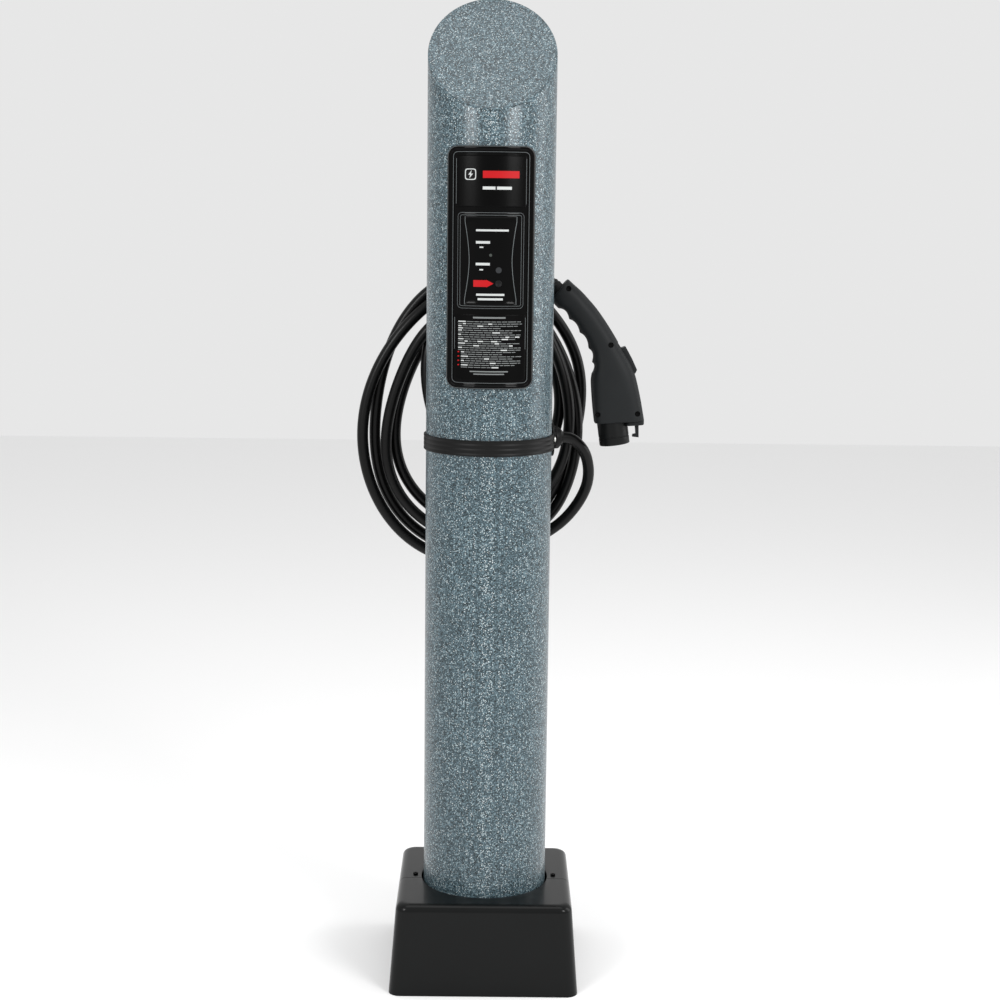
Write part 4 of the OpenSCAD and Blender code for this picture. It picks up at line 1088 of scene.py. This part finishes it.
# How much shorter each line of a paragraph ends; the first lines of the label run full.
RAGGED = (0, 2, 8, 26, 0, 9)
for line_number in range(LINES):
    z = LABEL_TOP - 9.5 - line_number * LINE_STEP
    marked = line_number >= FIRST_MARKED
    x = LEFT + (4 if marked else 0)
    if marked and line_number % 2 == 0:
        red_bars.append((LEFT + 0.4, z, 2.2, BOLD))
    end = RIGHT - rng.uniform(0, 3) - RAGGED[line_number % len(RAGGED)] * (line_number > 2)
    first_word = True
    while x < end - SHORTEST:
        word = min(rng.uniform(4, 11), end - x)
        bold = (first_word and line_number % 2 == 0) or rng.random() < BOLD_SHARE
        row = (x + word / 2, z, word, BOLD if bold else THIN)
        (pale_bars if bold else dim_bars).append(row)
        x += word + WORD_GAP
        first_word = False
for drop, length in ((77, 52), (80.5, 41.5)):
    dim_bars.append((-1, LABEL_TOP - drop, length, 1.6))
print_bars("label_print_pale", pale_bars, label_out, white_ink)
print_bars("label_print_grey", dim_bars, label_out, grey_ink)
print_bars("label_print_red", red_bars, label_out, red_ink)
print(len(pale_bars) + len(dim_bars) + len(red_bars), "bars on the label")

# %% [markdown]
# A pictogram stands at the left of the upper plate: a plain rounded square with a charge bolt in
# it. The arrow that points at the button gets its point. All are outlines with a little thickness.


# %% Pictogram and arrow point
def flat_shape(name, outline, out, ink):
    """A thin wrapped plate from an outline of x and z."""
    front = [bent(x, z, out + INK) for x, z in outline]
    back = [bent(x, z, out - 0.1) for x, z in outline]
    return piece(name, front + back, prism_faces(len(outline)), ink)


MARK_X, MARK_Z = -28.0, NAME_Z + 9
MARK_OUTER, MARK_INNER = 7.5, 6.3
MARK_STEPS = 48
mark_points = [
    bent(MARK_X + half * x, MARK_Z + half * z, name_out + out)
    for half, out in ((MARK_OUTER, -0.1), (MARK_OUTER, INK), (MARK_INNER, INK), (MARK_INNER, -0.1))
    for x, z in superellipse(MARK_STEPS, 5)
]
piece("mark_square", mark_points, loft_faces(4, MARK_STEPS, closed_loft=True), white_ink)
bolt = [(1.6, 5.4), (-3.2, -0.6), (-0.4, -0.6), (-1.6, -5.4), (3.2, 0.8), (0.4, 0.8)]
flat_shape("mark_bolt", [(MARK_X + x, MARK_Z + z) for x, z in bolt], name_out, white_ink)
flat_shape("reset_arrow_point", [(-5.2, FACE_Z - 25), (4.2, FACE_Z - 20), (-5.2, FACE_Z - 15)],
           PLATE_OUT, red_ink)

# %% [markdown]
# Now the sleeve can be opened: the window behind the charger, the gland's hole and the screw holes.

# %% Openings in the sleeve
CASE_W, CASE_H, CASE_CORNER = 104, 310, 8
GLAND_ANGLE = math.radians(27)
GLAND_HOLE_R, FLANGE_SCREW_R, SPACER_SCREW_R = 12.8, 2.1, 3.1
FLANGE_SPREAD = math.radians(13)
SPACER_HEIGHTS = (260, STRAP_Z + 116.4, STRAP_Z + 151.4)
window = rounded_rows(CASE_W, CASE_H, CASE_CORNER)
outline = [(half, z) for z, half in window] + [(-half, z) for z, half in reversed(window)]
prism = [(x, y, FACE_Z + z) for y in (FRONT_Y, -20) for x, z in outline]
holes = [cutter(prism, prism_faces(len(outline)))]
for turn, radius in ((0, GLAND_HOLE_R), (-FLANGE_SPREAD, FLANGE_SCREW_R),
                     (FLANGE_SPREAD, FLANGE_SCREW_R)):
    a = GLAND_ANGLE + turn
    holes.append(rod((0, 0, STRAP_Z), (math.cos(a), math.sin(a), 0), radius, 150))
for z in SPACER_HEIGHTS:
    holes.append(rod((0, 75, z), (0, 1, 0), SPACER_SCREW_R, 30))
cut(sleeve, *holes)
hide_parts("post_sleeve")
print("sleeve after cutting", len(sleeve.data.polygons), "faces")

# %% [markdown]
# ## The foot
#
# Two black halves cover the anchor plate. The whole cover is one loft of rounded squares: up the
# tapering side, round the top edge, in across the top to the round opening, over its lip, and back
# down inside. A cutting plane then parts it into halves, as the joint at the sides shows.

# %% Base cover
base_low, base_high = box_mm("front_base_cover")
BASE_HALF = -base_low[1]
BASE_H = base_high[2]
BASE_TAPER = 10.0
EDGE_R = 11.0
PLAN_R = 16.0
OPENING_R = SLEEVE_R + 3
COVER_WALL = 3.0
BASE_STEPS = 26


def square_ring(half, corner, z):
    """A rounded square with the same number of points on each side and corner."""
    ring = []
    for side in range(4):
        cx, cy = [(1, -1), (1, 1), (-1, 1), (-1, -1)][side]
        centre = (cx * (half - corner), cy * (half - corner))
        for k in range(BASE_STEPS // 2 + 1):
            a = math.radians(-90 + 90 * side + 90 * k / (BASE_STEPS // 2))
            ring.append((centre[0] + corner * math.cos(a), centre[1] + corner * math.sin(a), z))
        nxt = [(1, 1), (-1, 1), (-1, -1), (1, -1)][side]
        start_a = math.radians(90 * side)
        first_p = (centre[0] + corner * math.cos(start_a), centre[1] + corner * math.sin(start_a))
        last_p = (nxt[0] * (half - corner) + corner * math.cos(start_a),
                  nxt[1] * (half - corner) + corner * math.sin(start_a))
        for k in range(1, BASE_STEPS):
            t = k / BASE_STEPS
            ring.append((first_p[0] + (last_p[0] - first_p[0]) * t,
                         first_p[1] + (last_p[1] - first_p[1]) * t, z))
    return ring


def to_circle(ring, share, z):
    """The ring moved part of the way to the round opening."""
    moved = []
    for x, y, _ in ring:
        far = math.hypot(x, y)
        moved.append((x + (x / far * OPENING_R - x) * share,
                      y + (y / far * OPENING_R - y) * share, z))
    return moved


def cover_rings(inset):
    """Rings from the foot's lower edge up its side and in to the opening, drawn in by inset."""
    rings = []
    for share in (0, 0.03, 0.3, 0.6, 0.9, 1):
        z = (BASE_H - EDGE_R) * share
        half = BASE_HALF - BASE_TAPER * z / BASE_H - inset
        rings.append(square_ring(half, PLAN_R - inset * 0.6, z))
    top_half = BASE_HALF - BASE_TAPER * (BASE_H - EDGE_R) / BASE_H - inset
    radius = EDGE_R - inset
    for k in range(1, 8):
        a = math.pi / 2 * k / 7
        half = top_half - radius * (1 - math.cos(a))
        corner = PLAN_R - inset * 0.6 - 0.35 * radius * (1 - math.cos(a))
        rings.append(square_ring(half, corner, BASE_H - EDGE_R + radius * math.sin(a)))
    flat = rings[-1]
    z = flat[0][2]
    for share in (0.05, 0.35, 0.7, 0.94):
        rings.append(to_circle(flat, share, z))
    rings.append(to_circle(flat, 0.985, z - (0.25 if inset == 0 else 0)))
    rings.append(to_circle(flat, 1.0, z - (0.9 if inset == 0 else 0)))
    return rings


rings = cover_rings(0) + list(reversed(cover_rings(COVER_WALL)))
count = len(rings[0])
points = [p for ring in rings for p in ring]
faces = loft_faces(len(rings), count, closed_loft=True)
JOINT_Y = -14.0
GROOVE = 0.5


def half_cover(name, node, keep_front):
    """The cover in front of or behind the joint, with its cut face closed."""
    made = piece(name, points, faces, FINISH["cover_plastic"], sharp=30)
    where = (JOINT_Y - (GROOVE if keep_front else -GROOVE)) * MM
    with edited(made.data) as work:
        bmesh.ops.bisect_plane(work, geom=work.verts[:] + work.edges[:] + work.faces[:],
                               plane_co=(0, where, 0), plane_no=(0, 1, 0),
                               clear_outer=keep_front, clear_inner=not keep_front)
        bmesh.ops.holes_fill(work, edges=[e for e in work.edges if e.is_boundary], sides=0)
        bmesh.ops.recalc_face_normals(work, faces=work.faces)
    made.data.set_sharp_from_angle(angle=math.radians(30))
    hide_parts(node)
    return made


front_half = half_cover("base_cover_front_half", "front_base_cover", True)
rear_half = half_cover("base_cover_rear_half", "rear_base_cover", False)
SCREW_X = SLEEVE_R + 12
COVER_SCREW_R = 2.3
for half in (front_half, rear_half):
    cut(half, *[rod((x, 0, BASE_H - 20), (0, 0, 1), COVER_SCREW_R, 40)
                for x in (-SCREW_X, SCREW_X)])
print("foot", round(2 * BASE_HALF), "mm square,", round(BASE_H), "mm high")

# %% [markdown]
# ## Strap, gland and hook
#
# The strap is a rubbery band with shallow ribs, open where its ends meet under the flange. Its
# section is swept part of the way round the sleeve. The flange, gland, nut and hook keep their CAD
# shape and get the small edge rounding that any moulded or cast piece has.

# %% Strap
STRAP_H = strap_high[2] - strap_low[2]
STRAP_IN = SLEEVE_R + 0.1
STRAP_T = 3.0
section = [(0, -STRAP_H / 2), (0, STRAP_H / 2), (STRAP_T - 0.7, STRAP_H / 2),
           (STRAP_T, STRAP_H / 2 - 0.7)]
for groove in (6.5, 0, -6.5):
    section += [(STRAP_T, groove + 1.3), (STRAP_T - 0.45, groove + 0.5),
                (STRAP_T - 0.45, groove - 0.5), (STRAP_T, groove - 1.3)]
section += [(STRAP_T, -STRAP_H / 2 + 0.7), (STRAP_T - 0.7, -STRAP_H / 2)]
ARC_STEPS = 150
OPEN = math.radians(11)
points = []
for k in range(ARC_STEPS + 1):
    a = GLAND_ANGLE + OPEN + (2 * math.pi - 2 * OPEN) * k / ARC_STEPS
    for out, dz in section:
        r = STRAP_IN + out
        points.append((r * math.cos(a), r * math.sin(a), STRAP_Z + dz))
faces = loft_faces(ARC_STEPS + 1, len(section))
faces.append(tuple(range(len(section))))
faces.append(tuple(range(ARC_STEPS * len(section), (ARC_STEPS + 1) * len(section))))
strap = piece("strap_band_ribbed", points, faces, FINISH["nylon_black"], sharp=30)
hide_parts("strap_band")

# %% Edge rounding on CAD pieces
EDGE_ROUNDING = {
    "gland_flange": 0.7, "gland_body": 0.5, "gland_nut": 0.6, "cable_hook": 0.8,
    "rear_screws": 0.3, "flange_screws": 0.3, "base_cover_screws": 0.3, "base_plate": 0.8,
}
for node, width in EDGE_ROUNDING.items():
    softened(node, FINISH[slots[node]], width)
print(len(EDGE_ROUNDING), "nodes with rounded edges")

# %% [markdown]
# ## The plug
#
# The plug's body is a loft along a bent centre line. Each station is a cut across the grip: its
# two edges lie on the side view's outline, and its section is a superellipse, rounder on the grip
# and squarer near the nose. Five finger hollows scallop the inner edge. Outer and inner stations
# are joined along the seam, so each half is a real shell.

# %% Stations of the plug body
PLUG_Y = 62.0
# Left and right edge of each station, as x and height above the strap, then half-thickness and
# squareness of the section.
stations = [
    ((86, 196.5), (108.5, 224.5), 16.0, 2.4), ((88, 194.5), (111.5, 225.5), 18.2, 2.5),
    ((97, 185), (119, 219), 19.0, 2.6), ((108, 175), (130, 209.5), 19.0, 2.5),
    ((119, 162), (140.5, 198.5), 19.0, 2.4), ((130, 148), (152, 185.5), 19.0, 2.4),
    ((139.5, 132), (163.5, 170), 19.2, 2.4), ((145.5, 117), (174.5, 153.5), 20.0, 2.5),
    ((147.5, 104), (185, 136.5), 21.8, 2.7), ((147.3, 92), (195, 120.5), 23.6, 3.0),
    ((146.2, 82), (203.5, 106), 24.8, 3.2), ((146.8, 70), (209.5, 91), 25.6, 3.5),
    ((148, 56), (214.5, 72), 26.0, 3.8), ((149.3, 43), (218.5, 54), 26.0, 4.1),
    ((150.8, 31), (221.5, 38), 26.0, 4.4), ((152, 22.4), (223.4, 27.6), 26.0, 4.6),
    ((152.5, 20.6), (223.2, 26), 25.2, 4.6),
]
SECTION_STEPS = 40
BETWEEN = 8
PLUG_WALL = 3.0
FINGERS, FINGER_DEPTH = 5, 4.2
GRIP_START, GRIP_SHARE = 0.13, 0.44


def finger_depth(number, total):
    """How far the inner edge draws in at a station: a hollow for each finger along the grip."""
    share = (number / total - GRIP_START) / GRIP_SHARE
    if not 0 < share < 1:
        return 0.0
    return FINGER_DEPTH * abs(math.sin(FINGERS * math.pi * share)) ** 0.8


def section_ring(row, number, total, inset):
    """The plug's section at a station, drawn in by inset."""
    left, right, deep, square = np.array(row[0:2]), np.array(row[2:4]), row[4], row[5]
    across = (right - left) / np.linalg.norm(right - left)
    draw = finger_depth(number, total)
    centre, half = (left + right) / 2, np.linalg.norm(right - left) / 2
    ring = []
    for k, (u, v) in enumerate(superellipse(SECTION_STEPS, square)):
        e = u * (half - inset)
        c = math.cos(2 * math.pi * k / SECTION_STEPS)
        if c < 0:
            e += draw * abs(c) ** 3
        p = centre + across * e
        ring.append((p[0], PLUG_Y + v * (deep - inset), STRAP_Z + p[1]))
    return ring


rows = curve_through([[*left, *right, deep, square] for left, right, deep, square in stations],
                     BETWEEN)
total = len(rows) - 1
outer = [section_ring(row, i, total, 0) for i, row in enumerate(rows)]
inner = [section_ring(row, i, total, PLUG_WALL) for i, row in enumerate(rows)]
print("plug stations", len(rows))


# %% Plug shells
SEAM_GAP = 0.06


def shell_half(name, front):
    """Half of the plug's body, as a closed wall between its outer and inner sections."""
    half = SECTION_STEPS // 2
    numbers = range(half, SECTION_STEPS + 1) if front else range(half + 1)
    picks = [k % SECTION_STEPS for k in numbers]
    wide = len(picks)
    gap = SEAM_GAP if front else -SEAM_GAP
    points = []
    for ring in outer + inner:
        for k in picks:
            x, y, z = ring[k]
            seam = k in (0, half)
            points.append((x, PLUG_Y - gap if seam else y, z))
    n = len(rows)
    faces = loft_faces(n, wide, closed_ring=False)
    faces += loft_faces(n, wide, closed_ring=False, first=n * wide)
    for i in range(n - 1):
        for k in (0, wide - 1):
            a, b = i * wide + k, (i + 1) * wide + k
            faces.append((a, b, n * wide + b, n * wide + a))
    for i in (0, n - 1):
        for k in range(wide - 1):
            a = i * wide + k
            faces.append((a, a + 1, n * wide + a + 1, n * wide + a))
    return piece(name, points, faces, FINISH["connector_plastic"], sharp=38)


front_shell = shell_half("plug_front_shell", True)
rear_shell = shell_half("plug_rear_shell", False)


def side_prism(outline, width):
    """A cutter with the side outline, width wide, in the plug's middle."""
    points = [(x, PLUG_Y + y, STRAP_Z + z) for y in (-width / 2, width / 2) for x, z in outline]
    return cutter(points, prism_faces(len(outline)))


THUMB_W, HOOK_W = 19.2, 8.6
thumb_pocket = [(183, 137), (183, 98), (195, 91.3), (214, 91.3), (216, 100), (199, 137)]
hook_slot = [(199, 26), (199, -5), (226, -5), (226, 26)]
for shell in (front_shell, rear_shell):
    cut(shell, side_prism(thumb_pocket, THUMB_W), side_prism(hook_slot, HOOK_W))
print("plug shell faces", len(front_shell.data.polygons), "and", len(rear_shell.data.polygons))


# %% [markdown]
# Four screws hold the shells together. Each sits in a round recess, so a cup with a socket-headed
# screw in it goes into a hole that is cut at the shell's local surface.


# %% Plug screws
def front_surface(x, z):
    """How far forward the plug's front stands at x and height z above the strap."""
    ring_points = np.array([p for ring in outer for p in ring if p[1] < PLUG_Y - 1])
    away = np.hypot(ring_points[:, 0] - x, ring_points[:, 2] - STRAP_Z - z)
    nearest = np.argsort(away)[:6]
    return float(ring_points[nearest, 1].mean())


SCREW_PLACES = [(111.5, 213.3), (173, 134), (213, 36), (156, 34)]
RECESS_R = 3.9
# Radius and depth from the socket's floor out over the head, the gap, the cup's lip and its back.
cup = [(0.01, 1.9), (1.3, 1.9), (1.5, 0.9), (2.7, 0.7), (3.0, 1.1), (3.1, 2.4), (3.35, 2.4),
       (3.35, -0.1), (3.6, -0.35), (3.85, -0.2), (3.85, 4.2), (0.01, 4.2)]
cup_points, cup_faces = [], []
for x, z in SCREW_PLACES:
    front = front_surface(x, z)
    cut(front_shell, rod((x, front - 12, STRAP_Z + z), (0, 1, 0), RECESS_R, 30))
    ring_points, ring_faces = lathe(cup, 32)
    start = len(cup_points)
    cup_points += [(x + a, front + h, STRAP_Z + z + b) for a, b, h in ring_points]
    cup_faces += [tuple(start + i for i in face) for face in ring_faces]
plug_screws = piece("plug_screw_set", cup_points, cup_faces, FINISH["black_screw"])
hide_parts("connector_screws")

# %% [markdown]
# A nose plate closes the shells round the nozzle, and a short housing for the latch hangs under
# its outer side. Both are short stacks of superellipse rings. The plate takes its edges from the
# last station, and the nozzle's way and the hook's slot are cut through both.


# %% Nose plate and latch housing
NOZZLE_TILT = math.radians(8)
NOZZLE_POINT = Vector((178, PLUG_Y, STRAP_Z + 22))
NOZZLE_R = 21.9
NOZZLE_REACH = 33.0
LAST_LEFT, LAST_RIGHT, LAST_DEEP, LAST_SQUARE = stations[-1]


def nose_ring(scale, drop):
    """A ring of the nose plate: scale is its size, drop how far it hangs below the shells."""
    left, right = Vector((LAST_LEFT[0], 0, LAST_LEFT[1])), Vector((LAST_RIGHT[0], 0, LAST_RIGHT[1]))
    centre = (left + right) / 2
    across = (right - left).normalized()
    half = (right - left).length / 2 * scale
    up = Vector((-across.z, 0, across.x))
    ring = []
    for u, v in superellipse(SECTION_STEPS, LAST_SQUARE):
        p = centre + across * (u * half) - up * drop
        ring.append((p.x, PLUG_Y + v * LAST_DEEP * scale, STRAP_Z + p.z))
    return ring


nose = [nose_ring(0.90, -2.5), nose_ring(0.93, -2.5), nose_ring(0.93, 0.0), nose_ring(0.90, 0.7),
        nose_ring(0.5, 0.7), nose_ring(0.5, -2.5)]
points = [p for ring in nose for p in ring]
faces = loft_faces(len(nose), SECTION_STEPS, closed_loft=True)
nose_plate = piece("plug_nose_plate", points, faces, FINISH["connector_plastic"])
LATCH_X, LATCH_Z = 210.6, 25.0
LATCH_HALF_W, LATCH_HALF_D = 13.2, 17.5
EDGE_SLOPE = 0.076


def latch_ring(grow, drop):
    """A ring of the latch housing, level with the plug's sloping lower edge."""
    ring = []
    for u, v in superellipse(SECTION_STEPS, 5):
        x = LATCH_X + u * (LATCH_HALF_W + grow)
        z = LATCH_Z + EDGE_SLOPE * (x - LATCH_X) - drop
        ring.append((x, PLUG_Y + v * (LATCH_HALF_D + grow), STRAP_Z + z))
    return ring


housing = [latch_ring(-0.4, -1.5), latch_ring(0, 0), latch_ring(0, 6.2), latch_ring(-0.8, 7.0),
           latch_ring(-6, 7.0), latch_ring(-6, -1.5)]
latch_housing = piece("plug_latch_housing", [p for ring in housing for p in ring],
                      loft_faces(len(housing), SECTION_STEPS, closed_loft=True),
                      FINISH["connector_plastic"])
nozzle_axis = Vector((math.sin(NOZZLE_TILT), 0, -math.cos(NOZZLE_TILT)))
LEVER_W = 8.8
NOZZLE_GAP = 0.4
lever_way = [(199, 40), (199, -5), (221.5, -5), (221.5, 40)]
for thing in (nose_plate, latch_housing):
    start = NOZZLE_POINT - nozzle_axis * 20
    cut(thing, rod(tuple(start), tuple(nozzle_axis), NOZZLE_R + NOZZLE_GAP, 60),
        side_prism(lever_way, LEVER_W))
print("latch housing", len(latch_housing.data.polygons), "faces")

# %% Nozzle
# Radius and height along the tube, with a shallow groove round it near the mouth.
nozzle_profile = [
    (NOZZLE_R - 2.5, -7), (NOZZLE_R, -7), (NOZZLE_R, 20.5), (NOZZLE_R - 0.5, 21),
    (NOZZLE_R - 0.5, 22), (NOZZLE_R, 22.5), (NOZZLE_R, 32), (NOZZLE_R - 0.4, 32.7),
    (NOZZLE_R - 1, NOZZLE_REACH), (NOZZLE_R - 2, NOZZLE_REACH), (NOZZLE_R - 2.5, 32.4),
]
nozzle_place = Matrix.Translation(NOZZLE_POINT) @ Matrix.Rotation(math.pi - NOZZLE_TILT, 4, "Y")
points, faces = lathe(nozzle_profile, 96)
nozzle = piece("plug_nozzle_tube", placed(points, nozzle_place), faces, FINISH["nozzle_plastic"])
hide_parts("connector_nozzle")
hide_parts("connector_front_shell")
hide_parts("connector_rear_shell")
lever = softened("latch_lever", FINISH["lever_plastic"], 0.9)

# %% [markdown]
# ## Boot
#
# Where the cable enters the grip a rubber boot tapers onto it, with ribs that spread the bend. It
# lies on the cable's own last points. With it the plug is whole.

# %% Boot
BOOT_WALL, BOOT_TAPER = 1.6, 1.8
BOOT_RIBS, RIB_DEPTH = 6, 0.5
boot_line = smooth_path(tail_route[3:7], 0.8) + lift
radii = []
for i in range(len(boot_line)):
    share = i / (len(boot_line) - 1)
    radius = CABLE_D / 2 + BOOT_WALL + BOOT_TAPER * min(1, share * 1.6)
    rib = RIB_DEPTH * math.sin(share * 2 * math.pi * BOOT_RIBS)
    radii.append(radius + rib * (1 if share < 0.8 else 0))
points, faces = sweep(boot_line, radii, 28)
boot = piece("cable_boot", points, faces, FINISH["boot_rubber"])
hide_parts("grip_boot")
plug_pieces = [front_shell, rear_shell, nose_plate, latch_housing, nozzle, lever, boot]
plug_pieces += ["contact_sleeves", "latch_pin", "latch_spring", "proximity_switch"]
plug_pieces += ["contact_insert", plug_screws]

# %% [markdown]
# ## Floor and light
#
# A pale floor and an even white surround give a catalogue look. Two soft boxes in front draw the
# vertical streaks on the curved sleeve, a taller one at the right lifts that side, and one above
# lights the slanted top.

# %% Floor
floor_mesh = bpy.data.meshes.new("floor")
FLOOR_HALF = 6.0
corners = [(-1, -1), (1, -1), (1, 1), (-1, 1)]
floor_mesh.from_pydata([(x * FLOOR_HALF, y * FLOOR_HALF, -0.0005) for x, y in corners], [],
                       [(0, 1, 2, 3)])
floor = linked("floor", floor_mesh)
floor_paint, _, _ = new_material("floor_paint", Base_Color=(0.9, 0.9, 0.9, 1), Roughness=0.9)
floor_mesh.materials.append(floor_paint)
floor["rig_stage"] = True


# %% Lights
def soft_box(name, place, aim, width, height, power):
    """A rectangular area light at place that faces aim."""
    light = bpy.data.lights.new(name, "AREA")
    light.shape = "RECTANGLE"
    light.size, light.size_y = width, height
    light.energy = power
    lamp = linked(name, light)
    lamp.location = place
    lamp.rotation_mode = "QUATERNION"
    lamp.rotation_quaternion = (Vector(aim) - Vector(place)).to_track_quat("-Z", "Y")


soft_box("streak_left", (-1.5, -2.1, 1.8), (0, 0, 1.3), 0.9, 1.0, 30)
soft_box("streak_right", (1.6, -2.05, 1.8), (0, 0, 1.3), 0.9, 1.0, 36)
soft_box("side_right", (2.6, 0.2, 1.6), (0, 0, 0.9), 1.2, 2.4, 26)
soft_box("top", (0, -0.4, 3.4), (0, 0, 0.8), 2.0, 2.0, 20)
world = bpy.data.worlds.new("studio")
scene.world = world
world.use_nodes = True
world.node_tree.nodes["Background"].inputs["Color"].default_value = (1, 1, 1, 1)
world.node_tree.nodes["Background"].inputs["Strength"].default_value = 0.8

# %% Sizes
bpy.context.view_layer.update()
low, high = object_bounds()
